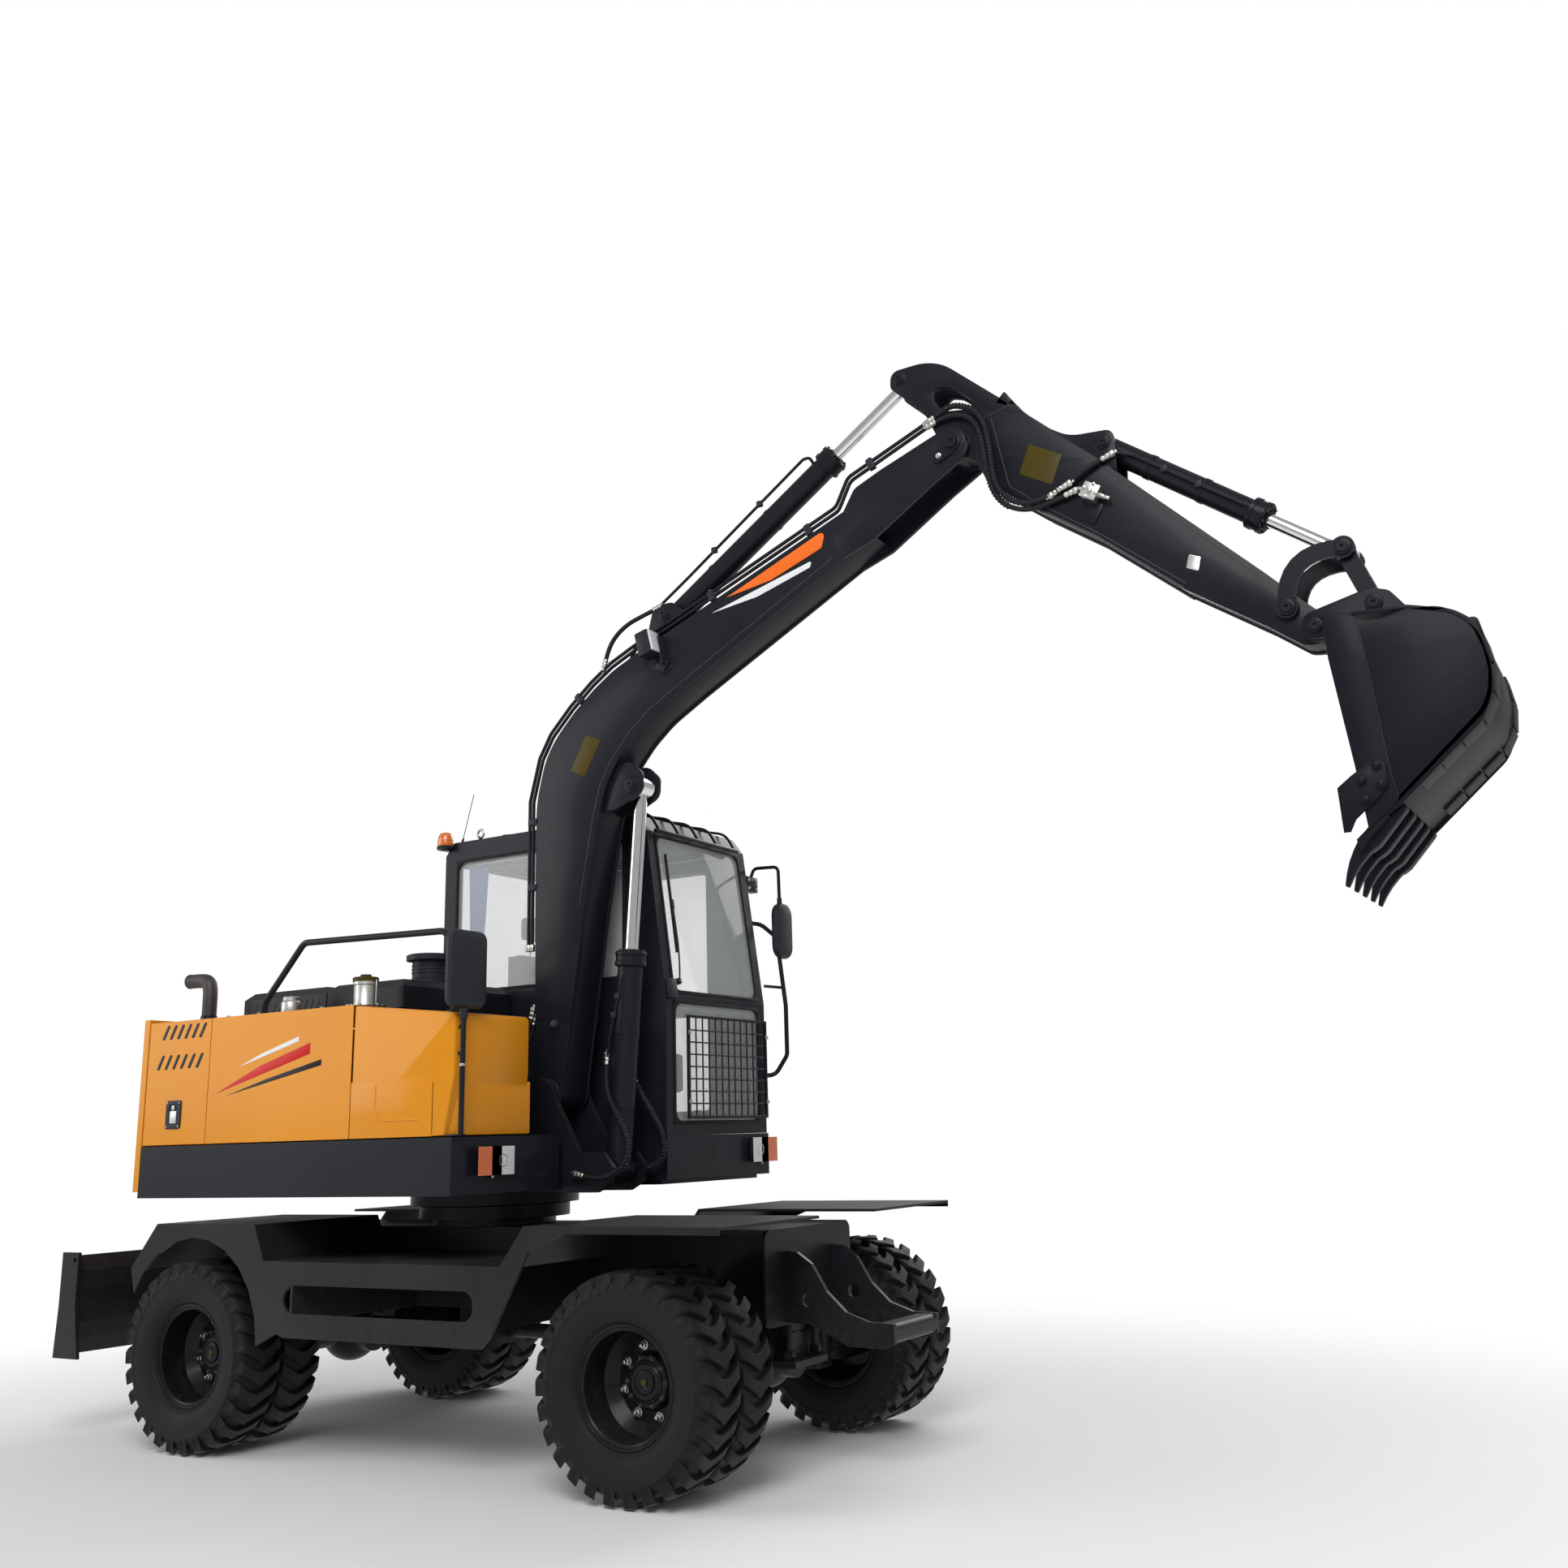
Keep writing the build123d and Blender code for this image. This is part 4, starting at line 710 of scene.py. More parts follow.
def spiralGuard(path, start, end):
    # helix round the stretch of a path between two shares of its length
    facts = hoseFacts
    steps = [(b - a).length for a, b in zip(path, path[1:])]
    total = sum(steps)
    turnAt, done, helix = 0.0, 0.0, []
    side = (path[1] - path[0]).orthogonal().normalized()
    for a, b in zip(path, path[1:]):
        way = (b - a).normalized()
        side = (side - way * side.dot(way)).normalized()
        parts = max(1, round((b - a).length / (facts["guardPitch"] / 10)))
        for k in range(parts):
            share = (done + (b - a).length * k / parts) / total
            turnAt += 2 * math.pi * (b - a).length / parts / facts["guardPitch"]
            if start <= share <= end:
                out = side * math.cos(turnAt) + way.cross(side) * math.sin(turnAt)
                helix.append(a + (b - a) * k / parts + out * (facts["radius"] + facts["guardWire"] * 0.4))
        done += (b - a).length
    return tube(blackPlastic, helix, facts["guardWire"], 4)


def hoseEnd(place, direction, reach=0.0):
    # crimped sleeve and swivel nut where a hose goes into its port; reach moves it back along the hose
    facts = hoseFacts
    radius, length = facts["crimp"]
    way = Vector(direction).normalized()
    base = Vector(place) - way * reach
    sleeve = turned(
        zinc,
        [
            (0.002, 0), (radius * 0.8, 0), (radius, 0.004), (radius, 0.012), (radius * 0.9, 0.014),
            (radius * 0.9, 0.02), (radius, 0.022), (radius, length - 0.006), (radius * 0.75, length),
            (0.002, length)],
        base, way, 20)
    nut = bar(
        zinc, facts["nutAcross"] * 0.577, base + way * (length - 0.002), base + way * (length + 0.02), 6,
        0.002)
    stem = bar(zinc, radius * 0.6, base + way * (length + 0.014), base + way * (length + 0.034), 16)
    return [sleeve, nut, stem]


def pathLength(path):
    return sum((b - a).length for a, b in zip(path, path[1:]))


hoses = [
    # name, bodies at its two ends, guard's share of the length, points
    ("arm_hose_outer", ("boom", "stick"), (0.04, 1.0),
     [(2.452, -0.199, 4.56), (2.51, -0.208, 4.582), (2.56, -0.216, 4.59), (2.61, -0.222, 4.572),
      (2.68, -0.228, 4.53), (2.722, -0.23, 4.45), (2.738, -0.23, 4.34), (2.742, -0.229, 4.225),
      (2.758, -0.226, 4.13), (2.806, -0.222, 4.06), (2.88, -0.218, 4.022),
      (2.965, -0.214, 4.022), (3.05, -0.21, 4.056)]),
    ("arm_hose_inner", ("boom", "stick"), (0.04, 0.72),
     [(2.458, -0.198, 4.538), (2.52, -0.2, 4.554), (2.6, -0.206, 4.54), (2.655, -0.212, 4.5),
      (2.69, -0.214, 4.43), (2.704, -0.214, 4.33), (2.712, -0.213, 4.225), (2.732, -0.21, 4.12),
      (2.79, -0.207, 4.036), (2.88, -0.204, 3.996), (2.98, -0.204, 4.0), (3.072, -0.206, 4.022)]),
    ("bucket_hose", ("stick", "bucket_ram_barrel"), (1.0, 1.0),
     [(3.036, -0.21, 4.05), (3.085, -0.208, 4.074), (3.135, -0.206, 4.102), (3.19, -0.203, 4.13),
      (3.245, -0.198, 4.15)]),
    ("boom_ram_hose_near", ("boom_ram_barrel", "upper"), (0.0, 0.86),
     [(0.522, -0.145, 1.728), (0.523, -0.154, 1.66), (0.545, -0.17, 1.58), (0.61, -0.196, 1.5),
      (0.69, -0.232, 1.415), (0.745, -0.264, 1.325), (0.722, -0.28, 1.245), (0.64, -0.284, 1.2),
      (0.545, -0.283, 1.194), (0.48, -0.281, 1.208)]),
    ("boom_ram_hose_far", ("boom_ram_barrel", "upper"), (0.0, 0.9),
     [(0.596, -0.02, 1.64), (0.626, -0.01, 1.58), (0.68, 0.002, 1.49), (0.732, 0.016, 1.395),
      (0.738, 0.026, 1.305), (0.69, 0.032, 1.245), (0.6, 0.034, 1.222), (0.52, 0.034, 1.222)]),
    ("foot_hose_upper", ("upper", "boom"), (0.0, 0.8),
     [(-0.215, -0.214, 1.69), (-0.15, -0.212, 1.722), (-0.07, -0.208, 1.778), (0.01, -0.204, 1.832),
      (0.068, -0.2, 1.892), (0.09, -0.198, 1.968)]),
    ("foot_hose_lower", ("upper", "boom"), (0.0, 0.8),
     [(-0.215, -0.176, 1.655), (-0.14, -0.176, 1.68), (-0.06, -0.178, 1.735), (0.02, -0.18, 1.8),
      (0.072, -0.18, 1.866), (0.09, -0.18, 1.94)]),
    ("ram_hose_near", ("boom", "arm_ram_barrel"), (1.0, 1.0),
     [(0.548, -0.195, 3.742), (0.566, -0.196, 3.802), (0.61, -0.192, 3.868), (0.68, -0.186, 3.918),
      (0.765, -0.18, 3.945), (0.85, -0.174, 3.968)]),
    ("ram_hose_far", ("boom", "arm_ram_barrel"), (1.0, 1.0),
     [(0.562, -0.008, 3.682), (0.556, -0.006, 3.745), (0.574, -0.005, 3.812), (0.61, -0.008, 3.868),
      (0.68, -0.014, 3.918), (0.765, -0.02, 3.945), (0.85, -0.026, 3.968)]),
]


def makeHoses():
    facts = hoseFacts
    for name, (first, last), (guardStart, guardEnd), points in hoses:
        path = routeLine(points)
        whole = tube(hoseRubber, path, facts["radius"])
        whole.name = whole.data.name = name
        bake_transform(whole)
        startWay, endWay = path[0] - path[1], path[-1] - path[-2]
        along = [
            joined(name + "_start", first, hoseEnd(path[0], startWay, 0.012)),
            joined(name + "_end", last, hoseEnd(path[-1], endWay, 0.012))]
        if guardEnd > guardStart:
            guard = spiralGuard(path, guardStart, guardEnd)
            guard.name = guard.data.name = name + "_guard"
            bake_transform(guard)
            along.append(guard)
        print(name, "length", round(pathLength(path), 3))


makeHoses()
print("hoses made")

# ---- working arm: keeper plates, valve block, lamp, blank labels and stripes

armMiddle = -0.1
pins = {
    # x, z in the arm's middle plane
    "boomFoot": (0.2, 1.585),
    "boomRamBase": (0.557, 1.232),
    "boomRamEye": (0.7, 3.076),
    "armRamBase": (0.915, 3.925),
    "armRamEye": (2.285, 4.822),
    "stick": (2.55, 4.408),
    "bucketRamBase": (3.24, 4.235),
    "bucketRamEye": (4.165, 3.526),
    "rocker": (3.931, 3.326),
    "bucket": (4.035, 3.222),
    "link": (4.258, 3.268),
}
armFacts = {
    "boomFace": -0.2075,    # near sides of the boom and stick
    "stickFace": -0.1825,
    "plate": 0.0008,
    "keeperRadius": 0.04,
    "label": 0.0002,        # edge of the thin plates
}


def keeper(name, body, pin, tail, y, side):
    # pin head with its locking plate; tail is the direction of the plate's arm in the arm's plane
    radius = armFacts["keeperRadius"]
    u = Vector(tail).normalized()
    v = Vector((-u.y, u.x))
    centre = Vector(pins[pin])
    ends = []
    for along, across, fillet in (
            (-1.0, 1.0, 0.9), (1.0, 1.0, 0.3), (2.9, 0.62, 0.55), (2.9, -0.62, 0.55), (1.0, -1.0, 0.3),
            (-1.0, -1.0, 0.9)):
        place = centre + u * along * radius + v * across * radius
        ends.append((place.x, place.y, fillet * radius))
    plate = flatPlate(armPaint, [ends], "XZ", y + side * 0.006, 0.012, 0.002)
    head = turned(
        armPaint,
        [
            (0.0005, -0.002), (radius * 0.78, -0.002), (radius * 0.78, 0.016), (radius * 0.7, 0.02),
            (radius * 0.3, 0.02), (radius * 0.26, 0.014), (0.0005, 0.014)],
        (centre.x, y + side * 0.01, centre.y), (0, side, 0), 32)
    foot = centre + u * 2.1 * radius
    bolt = boltAt(zinc, 0.019, (0, side, 0), (foot.x, y + side * 0.012, foot.y))
    return joined(name, body, [plate, head, bolt])


keepers = [
    # name, body, pin, direction of the arm (x, z), face, side
    ("keeper_stick", "boom", "stick", (-1.0, -0.72), -0.2095, -1),
    ("keeper_stick_far", "boom", "stick", (-1.0, -0.72), 0.0095, 1),
]
for row in keepers:
    keeper(*row)


def pinCap(name, body, pin, y, side, radius):
    # plain pin end: stepped disc with a centre hole
    x, z = pins[pin]
    cap = turned(
        armPaint,
        [
            (0.0015, 0), (radius, 0), (radius, 0.006), (radius * 0.92, 0.008), (radius * 0.7, 0.008),
            (radius * 0.66, 0.013), (radius * 0.22, 0.013), (radius * 0.18, 0.006), (0.0015, 0.006)],
        (x, y, z), (0, side, 0), 32)
    return joined(name, body, [cap])


def valveBlock():
    # hydraulic valve on its bracket, on the near side of the stick
    y = armFacts["stickFace"]
    bracket = flatPlate(
        armPaint, [rounded([(3.112, 3.905), (3.16, 3.985), (3.226, 3.944), (3.178, 3.866)], 1)], "XZ",
        y - 0.004, 0.006)
    body = block(alloy, (0.078, 0.05, 0.07), (3.183, y - 0.032, 4.002), 0.004, (0, math.radians(32), 0))
    parts = [bracket, body]
    for dx, dz in ((-0.024, 0.02), (0.02, 0.024), (-0.022, -0.022), (0.024, -0.018)):
        parts.append(boltAt(zinc, 0.012, (0, -1, 0), (3.183 + dx, y - 0.057, 4.002 + dz)))
    parts.append(bar(zinc, 0.012, (3.183, y - 0.055, 4.002), (3.183, y - 0.068, 4.002), 16))
    parts.append(bar(zinc, 0.013, (3.212, y - 0.032, 3.984), (3.24, y - 0.032, 3.966), 6))
    parts.append(bar(zinc, 0.01, (3.236, y - 0.032, 3.969), (3.262, y - 0.032, 3.953), 16))
    elbow = routeLine([
        (3.156, y - 0.03, 4.02), (3.135, y - 0.03, 4.034), (3.115, y - 0.027, 4.038),
        (3.098, y - 0.024, 4.034)])
    parts.append(tube(zinc, elbow, 0.009))
    return joined("valve_block", "stick", parts)


valveBlock()


def workLamp():
    # square lamp in a folded bracket on the near side of the boom
    y = armFacts["boomFace"]
    bracket = block(
        blackPlastic, (0.01, 0.05, 0.15), (0.93, y - 0.024, 3.72), 0.002, (0, math.radians(-8), 0))
    arm = block(blackPlastic, (0.06, 0.01, 0.06), (0.915, y - 0.006, 3.65), 0.002, (0, math.radians(30), 0))
    case = block(
        blackPlastic, (0.08, 0.095, 0.13), (0.872, y - 0.066, 3.748), 0.01, (0, math.radians(-14), 0))
    pane = block(
        clearLens, (0.012, 0.082, 0.112), (0.914, y - 0.066, 3.758), 0.004, (0, math.radians(-14), 0))
    lead = tube(
        sealRubber,
        routeLine([
            (0.85, y - 0.06, 3.69), (0.845, y - 0.05, 3.64), (0.9, y - 0.03, 3.6), (0.95, y - 0.012, 3.61),
            (0.965, y - 0.004, 3.625)]),
        0.004, 8)
    return joined("work_lamp", "boom", [bracket, arm, case, pane, lead])


workLamp()


def armPlates():
    thick, edge = armFacts["plate"], armFacts["label"]
    boomY = armFacts["boomFace"] - thick / 2
    stickY = armFacts["stickFace"] - thick / 2
    label = flatPlate(
        plateYellow,
        [rounded(
            [(0.433, 3.367, 0.006), (0.526, 3.326, 0.006), (0.423, 3.152, 0.006), (0.334, 3.194, 0.006)],
            3)],
        "XZ", boomY, thick, edge)
    joined("boom_label", "boom", [label])
    plate = flatPlate(
        plateYellow,
        [rounded(
            [(2.907, 4.316, 0.006), (3.053, 4.226, 0.006), (2.998, 4.097, 0.006), (2.851, 4.186, 0.006)],
            3)],
        "XZ", stickY, thick, edge)
    joined("stick_label", "stick", [plate])
    # one broad and one narrow stripe that taper to the rear
    stripes = [
        (stripeOrange, [(1.3, 3.925), (1.87, 4.15, 0.02), (1.845, 4.06, 0.02), (1.56, 3.96)]),
        (stripeWhite, [(1.21, 3.862), (1.79, 4.008, 0.008), (1.778, 3.976, 0.008), (1.48, 3.892)]),
    ]
    parts = [
        flatPlate(paintwork, [rounded(outline, 3)], "XZ", boomY, thick, edge)
        for paintwork, outline in stripes]
    joined("boom_stripes", "boom", parts)


armPlates()
print("arm dressed")

# ---- wheels: nuts, hub cover and cap

wheelFacts = {
    "twinMiddle": 0.2365,     # from the outer tyre face to the plane between the wheels
    "discFace": 0.012,        # from that plane, outwards
    "hubFace": 0.04,
    "bossFace": 0.062,
    "nutCircle": 0.138,
    "nuts": 8,
    "coverRadius": 0.104,
    "coverBolts": 10,
    "capRadius": 0.047,
    "dot": 0.0135,
}


def scallops(radius, count, depth):
    # round outline with a shallow hollow between neighbouring bolts
    line = []
    for i in range(count * 8):
        turn = 2 * math.pi * i / (count * 8)
        reach = radius - depth * (0.5 - 0.5 * math.cos(count * turn))
        line.append((reach * math.cos(turn), reach * math.sin(turn)))
    return line


def hubCover():
    # modelled up +Z from the hub's face
    facts = wheelFacts
    cover = flatPlate(
        rimPaint, [scallops(facts["coverRadius"], facts["coverBolts"], 0.007)], "XY", 0.005, 0.01, 0.002)
    ridge = turned(
        rimPaint, [(0.062, 0.009), (0.08, 0.009), (0.078, 0.016), (0.066, 0.018)], (0, 0, 0), (0, 0, 1))
    parts = [cover, ridge]
    for i in range(facts["coverBolts"]):
        turn = 2 * math.pi * i / facts["coverBolts"]
        bolt = hexBolt(engineIron, 0.014)
        bolt.data.transform(Matrix.Translation((0.093 * math.cos(turn), 0.093 * math.sin(turn), 0.01)))
        parts.append(bolt)
    return parts


def wheelNut():
    # nut with its washer and the stud's end
    nut = hexBolt(zinc, 0.027)
    stud = bar(zinc, 0.0085, (0, 0, 0.01), (0, 0, 0.029), 16, 0.0015)
    return melded([nut, stud])


def dressRims():
    facts = wheelFacts
    nut = wheelNut()
    cover = hubCover()
    for corner in ("front_left", "front_right", "rear_left", "rear_right"):
        low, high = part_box("tyres_" + corner)
        x, z = (low[0] + high[0]) / 2, (low[2] + high[2]) / 2
        side = 1 if high[1] > 0 else -1
        middle = (high[1] if side > 0 else low[1]) - side * facts["twinMiddle"]
        parts = []
        for i in range(facts["nuts"]):
            turn = 2 * math.pi * (i + 0.35) / facts["nuts"]
            place = (
                x + facts["nutCircle"] * math.cos(turn), middle + side * facts["discFace"],
                z + facts["nutCircle"] * math.sin(turn))
            parts.append(copyOf(nut, lookAlong((0, side, 0), place)))
        joined("wheel_nuts_" + corner, "wheels_" + corner, parts)
        stand = lookAlong((0, side, 0), (x, middle + side * facts["hubFace"], z))
        joined("hub_cover_" + corner, "wheels_" + corner, [copyOf(part, stand) for part in cover])
        cap = turned(
            rimPaint,
            [
                (0.004, 0), (facts["capRadius"], 0), (facts["capRadius"], 0.006),
                (facts["capRadius"] - 0.006, 0.01), (0.022, 0.01), (0.018, 0.007), (0.004, 0.007)],
            (x, middle + side * facts["bossFace"], z), (0, side, 0), 40)
        dot = turned(
            plateYellow, [(0.0005, 0), (facts["dot"], 0), (facts["dot"] * 0.9, 0.0025), (0.0005, 0.003)],
            (x, middle + side * (facts["bossFace"] + 0.007), z), (0, side, 0), 28)
        joined("hub_cap_" + corner, "wheels_" + corner, [cap, dot])
    for piece in [nut] + cover:
        bpy.data.objects.remove(piece)


dressRims()
print("rims dressed")

# ---- yellow panels: latches, stripes and the pieces on the deck

panelFacts = {
    "rightFace": -1.02,
    "leftFace": 1.03,
    "latch": (-1.514, 1.549),       # middle of the door latch, x and z
    "latchSize": (0.112, 0.138),
    "film": 0.0008,
}


def doorLatch(name, body, face, side):
    facts = panelFacts
    x, z = facts["latch"]
    wide, tall = facts["latchSize"]
    u, v = wide / 2, tall / 2
    corners = boxLine(x - u, x + u, z - v, z + v, 0.014)
    pocket = boxLine(x - 0.03, x + 0.03, z - 0.048, z + 0.048, 0.01)
    rim = flatPlate(blackPlastic, [corners, pocket], "XZ", face + side * 0.003, 0.006, 0.0015)
    bed = flatPlate(blackPlastic, [corners], "XZ", face + side * 0.0008, 0.0014, 0.0003)
    paddle = block(alloy, (0.05, 0.004, 0.06), (x, face + side * 0.004, z - 0.012), 0.0015)
    lock = turned(
        zinc, [(0.003, 0), (0.0125, 0), (0.0125, 0.0045), (0.01, 0.006), (0.003, 0.006)],
        (x, face + side * 0.003, z + 0.033), (0, side, 0), 28)
    parts = [rim, bed, paddle, lock]
    for a, b in ((-1, -1), (1, -1), (-1, 1), (1, 1)):
        screw = turned(
            zinc, [(0.0006, 0.003), (0.0045, 0.003), (0.0045, 0.0045), (0.003, 0.0055), (0.0006, 0.0055)],
            (x + a * (u - 0.012), face + side * 0.003, z + b * (v - 0.012)), (0, side, 0), 16)
        parts.append(screw)
    return joined(name, body, parts)


doorLatch("latch_right", "side_door_right", panelFacts["rightFace"], -1)
doorLatch("latch_left", "side_door_left", panelFacts["leftFace"], 1)


def panelStripes():
    # plain slanted bands on the middle panels of both sides
    thick = panelFacts["film"]
    bands = [
        # material, outline
        (stripeRed, [(-1.21, 1.64), (-0.56, 1.8), (-0.56, 1.852), (-0.9, 1.76)]),
        (blackStripeAndPaintedShade, [(-1.13, 1.628), (-0.48, 1.744), (-0.48, 1.772), (-0.86, 1.694)]),
        (stripeWhite, [(-1.06, 1.76), (-0.64, 1.862), (-0.64, 1.886), (-0.9, 1.815)]),
    ]
    for name, face, side in (
            ("stripes_right", panelFacts["rightFace"], -1), ("stripes_left", panelFacts["leftFace"], 1)):
        parts = [
            flatPlate(paintwork, [rounded(outline, 3)], "XZ", face + side * thick / 2, thick, 0.0002)
            for paintwork, outline in bands]
        joined(name, "upper", parts)


panelStripes()


def curvedPipe(material, points, radius, wall, sides=24):
    # bent pipe with a rolled end; the black disc in its mouth is painted shade for the open bore
    path = routeLine(points)
    parts = [tube(material, path, radius, sides)]
    way = (path[-1] - path[-2]).normalized()
    parts.append(turned(material, boxLine(radius - wall, radius + 0.001, -0.004, 0.004), path[-1], way, 32))
    # painted shade: black disc in place of the dark inside of the pipe
    parts.append(turned(blackStripeAndPaintedShade, boxLine(0.0005, radius - wall, 0.0004, 0.0012), path[-1], way, 32))
    return parts


def deckFittings():
    # exhaust, pre-cleaner, oil bowl and breather
    deck, cleanerFoot = 2.011, (-0.45, -0.36, 2.161)
    parts = curvedPipe(
        exhaustSteel,
        [
            (-1.602, -0.78, 2.031), (-1.602, -0.78, 2.11), (-1.602, -0.78, 2.19), (-1.62, -0.78, 2.232),
            (-1.67, -0.78, 2.242), (-1.765, -0.78, 2.243)],
        0.037, 0.004)
    parts.append(turned(
        charcoal, [(0.036, 0), (0.058, 0), (0.056, 0.006), (0.042, 0.012), (0.04, 0.03), (0.036, 0.03)],
        (-1.602, -0.78, 2.024), (0, 0, 1)))
    cleaner = [
        (0.003, 0), (0.104, 0), (0.104, 0.02), (0.094, 0.024), (0.088, 0.03), (0.088, 0.11), (0.096, 0.116),
        (0.119, 0.118), (0.119, 0.144), (0.108, 0.149), (0.003, 0.149)]
    parts.append(turned(blackPlastic, cleaner, cleanerFoot, (0, 0, 1), 64))
    for rise in (0.05, 0.068, 0.086):
        parts.append(turned(
            blackPlastic,
            [(0.087, rise), (0.0915, rise + 0.003), (0.0915, rise + 0.009), (0.087, rise + 0.012)],
            cleanerFoot, (0, 0, 1), 64))
    joined("exhaust_and_cleaner", "upper", parts)
    x, y = -0.4, -0.84
    bowl = turned(
        alloy,
        [
            (0.003, 0.009), (0.056, 0.009), (0.056, 0.018), (0.051, 0.024), (0.051, 0.108), (0.057, 0.112),
            (0.057, 0.126), (0.003, 0.126)],
        (x, y, deck), (0, 0, 1), 56)
    cap = turned(
        plateYellow,
        [
            (0.003, 0.126), (0.061, 0.126), (0.0615, 0.13), (0.0615, 0.143), (0.058, 0.147), (0.026, 0.149),
            (0.026, 0.16), (0.003, 0.16)],
        (x, y, deck), (0, 0, 1), 56)
    flange = turned(
        charcoal, [(0.003, 0), (0.103, 0), (0.103, 0.007), (0.101, 0.009), (0.003, 0.009)], (x, y, deck),
        (0, 0, 1), 56)
    parts = [flange, bowl, cap]
    for i in range(6):
        turn = math.pi * i / 3
        bolt = hexBolt(zinc, 0.014)
        bolt.data.transform(Matrix.Translation((
            x + 0.084 * math.cos(turn), y + 0.084 * math.sin(turn), deck + 0.009)))
        parts.append(bolt)
    for rodX in (x + 0.0725, x - 0.0725):
        parts.append(bar(zinc, 0.0035, (rodX, y, deck + 0.01), (rodX, y, deck + 0.132), 12, 0.0005))
    joined("oil_bowl", "upper", parts)
    breather = turned(
        alloy,
        [
            (0.003, 0), (0.036, 0), (0.036, 0.006), (0.046, 0.01), (0.0475, 0.016), (0.0475, 0.06),
            (0.044, 0.066), (0.04, 0.07), (0.04, 0.086), (0.034, 0.091), (0.003, 0.091)],
        (-0.915, -0.84, deck), (0, 0, 1), 48)
    whole = joined("breather", "upper", [breather])
    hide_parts("deck_fittings")


deckFittings()
boltRow(
    "deck_bolts", "upper", zinc, 0.016,
    [
        ((x, y, 2.0102), (0, 0, 1))
        for x, y in (
            (-1.2, -0.98), (-0.98, -0.98), (-0.76, -0.98), (-0.54, -0.98), (-0.34, -0.98), (-1.06, -0.76),
            (-0.7, -0.76))])
boltRow(
    "door_top_bolts", "upper", zinc, 0.014,
    [((x, y, z), (0, 0, 1)) for x, y, z in ((-1.7, -0.55, 2.0102), (-1.7, 0.55, 2.0102))])
print("deck dressed")

# ---- corner lamps


def cornerLamp(name, back, low, lenses):
    # housing with one amber and one clear lens; back is the face behind it, lenses are (material, y, y)
    y0, y1 = min(row[1] for row in lenses) - 0.006, max(row[2] for row in lenses) + 0.006
    tall = 0.12
    shell = boxLine(y0, y1, low, low + tall, 0.02)
    parts = [flatPlate(blackPlastic, [shell], "YZ", back + 0.01, 0.02, 0.003)]
    for material, a, b in lenses:
        startFresh()
        bpy.ops.mesh.primitive_cube_add(
            size=1, location=(back + 0.026, (a + b) / 2, low + tall / 2), scale=(0.016, b - a, tall - 0.014))
        made = bpy.context.object
        pickFaces(made, lambda face: face.normal.x > 0.9)
        bpy.ops.mesh.inset(thickness=0.12)
        bpy.ops.transform.translate(value=(0.003, 0, 0))
        bpy.ops.object.mode_set(mode="OBJECT")
        parts.append(settle(material, 0.005, 40, 3))
        if material is clearLens:
            parts.append(turned(
                alloy,
                [(0.0006, 0), (0.02, 0), (0.026, 0.004), (0.028, 0.004), (0.028, 0.0005), (0.0006, 0.0005)],
                (back + 0.0345, (a + b) / 2, low + tall / 2), (1, 0, 0), 32))
    middle = (y0 + y1) / 2
    parts.append(bar(
        zinc, 0.006, (back + 0.012, middle, low - 0.016), (back + 0.012, middle, low + 0.004), 12))
    parts.append(bar(zinc, 0.01, (back + 0.012, middle, low - 0.01), (back + 0.012, middle, low - 0.004), 6))
    return joined(name, "upper", parts)


rightLamp = cornerLamp("lamp_right", 0.35, 1.232, [(amberLens, -0.848, -0.772), (clearLens, -0.764, -0.682)])
cornerLamp("lamp_left", 0.7, 1.236, [(clearLens, 0.852, 0.934), (amberLens, 0.942, 1.018)])
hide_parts("corner_lamps")


def speaker(name, x, y, z, radius, pitch):
    # round field of small holes, each a thin black disc: painted shade in place of open holes
    parts = []
    reach = int(radius / pitch) + 1
    for i in range(-reach, reach + 1):
        for j in range(-reach, reach + 1):
            v, w = (i + 0.5 * (j % 2)) * pitch, j * pitch * 0.87
            if math.hypot(v, w) <= radius:
                hole = boxLine(0.0003, pitch * 0.3, 0, 0.0008)
                parts.append(turned(blackStripeAndPaintedShade, hole, (x, y + v, z + w), (1, 0, 0), 12))
    return joined(name, "upper", parts)


speaker("speaker_right", 0.35, -0.575, 1.296, 0.042, 0.0125)
speaker("speaker_left", 0.7, 0.506, 1.298, 0.042, 0.0125)
print("lamps made")

# ---- cab: seals, panes, wiper, rails, mirrors, handle, roof

cabFacts = {
    "rightFace": 0.112,
    "leftFace": 1.03,
    "rearFace": -0.812,
    "frontFace": 0.69,
    "corner": 0.05,
    "sealWidth": 0.016,
    "sealRise": 0.005,
    "screenFoot": (0.69, 2.06),   # inclined windscreen, x and z of its foot and head
    "screenHead": (0.575, 2.91),
}
windows = {
    # each opening in its own plane: u, u, v, v
    "rightRear": (-0.722, -0.06, 2.165, 2.89),
    "rightFront": (0.02, 0.43, 2.165, 2.89),
    "leftRear": (-0.722, -0.4, 2.165, 2.89),
    "rear": (0.202, 0.94, 2.165, 2.89),
    "lowerFront": (0.182, 0.96, 1.44, 2.03),
    "screen": (0.182, 0.96, 0.02, 0.838),
    "doorUpper": (-0.26, 0.35, 2.1, 2.83),
    "doorLower": (-0.26, 0.35, 1.5, 2.03),
}


def screenStand():
    # matrix of the inclined windscreen: u along Y, v up the glass, w outwards
    (x0, z0), (x1, z1) = cabFacts["screenFoot"], cabFacts["screenHead"]
    up = Vector((x1 - x0, 0, z1 - z0)).normalized()
    side = Vector((0, 1, 0))
    turn = Matrix((side, up, side.cross(up))).transposed().to_4x4()
    return Matrix.Translation((x0, 0, z0)) @ turn


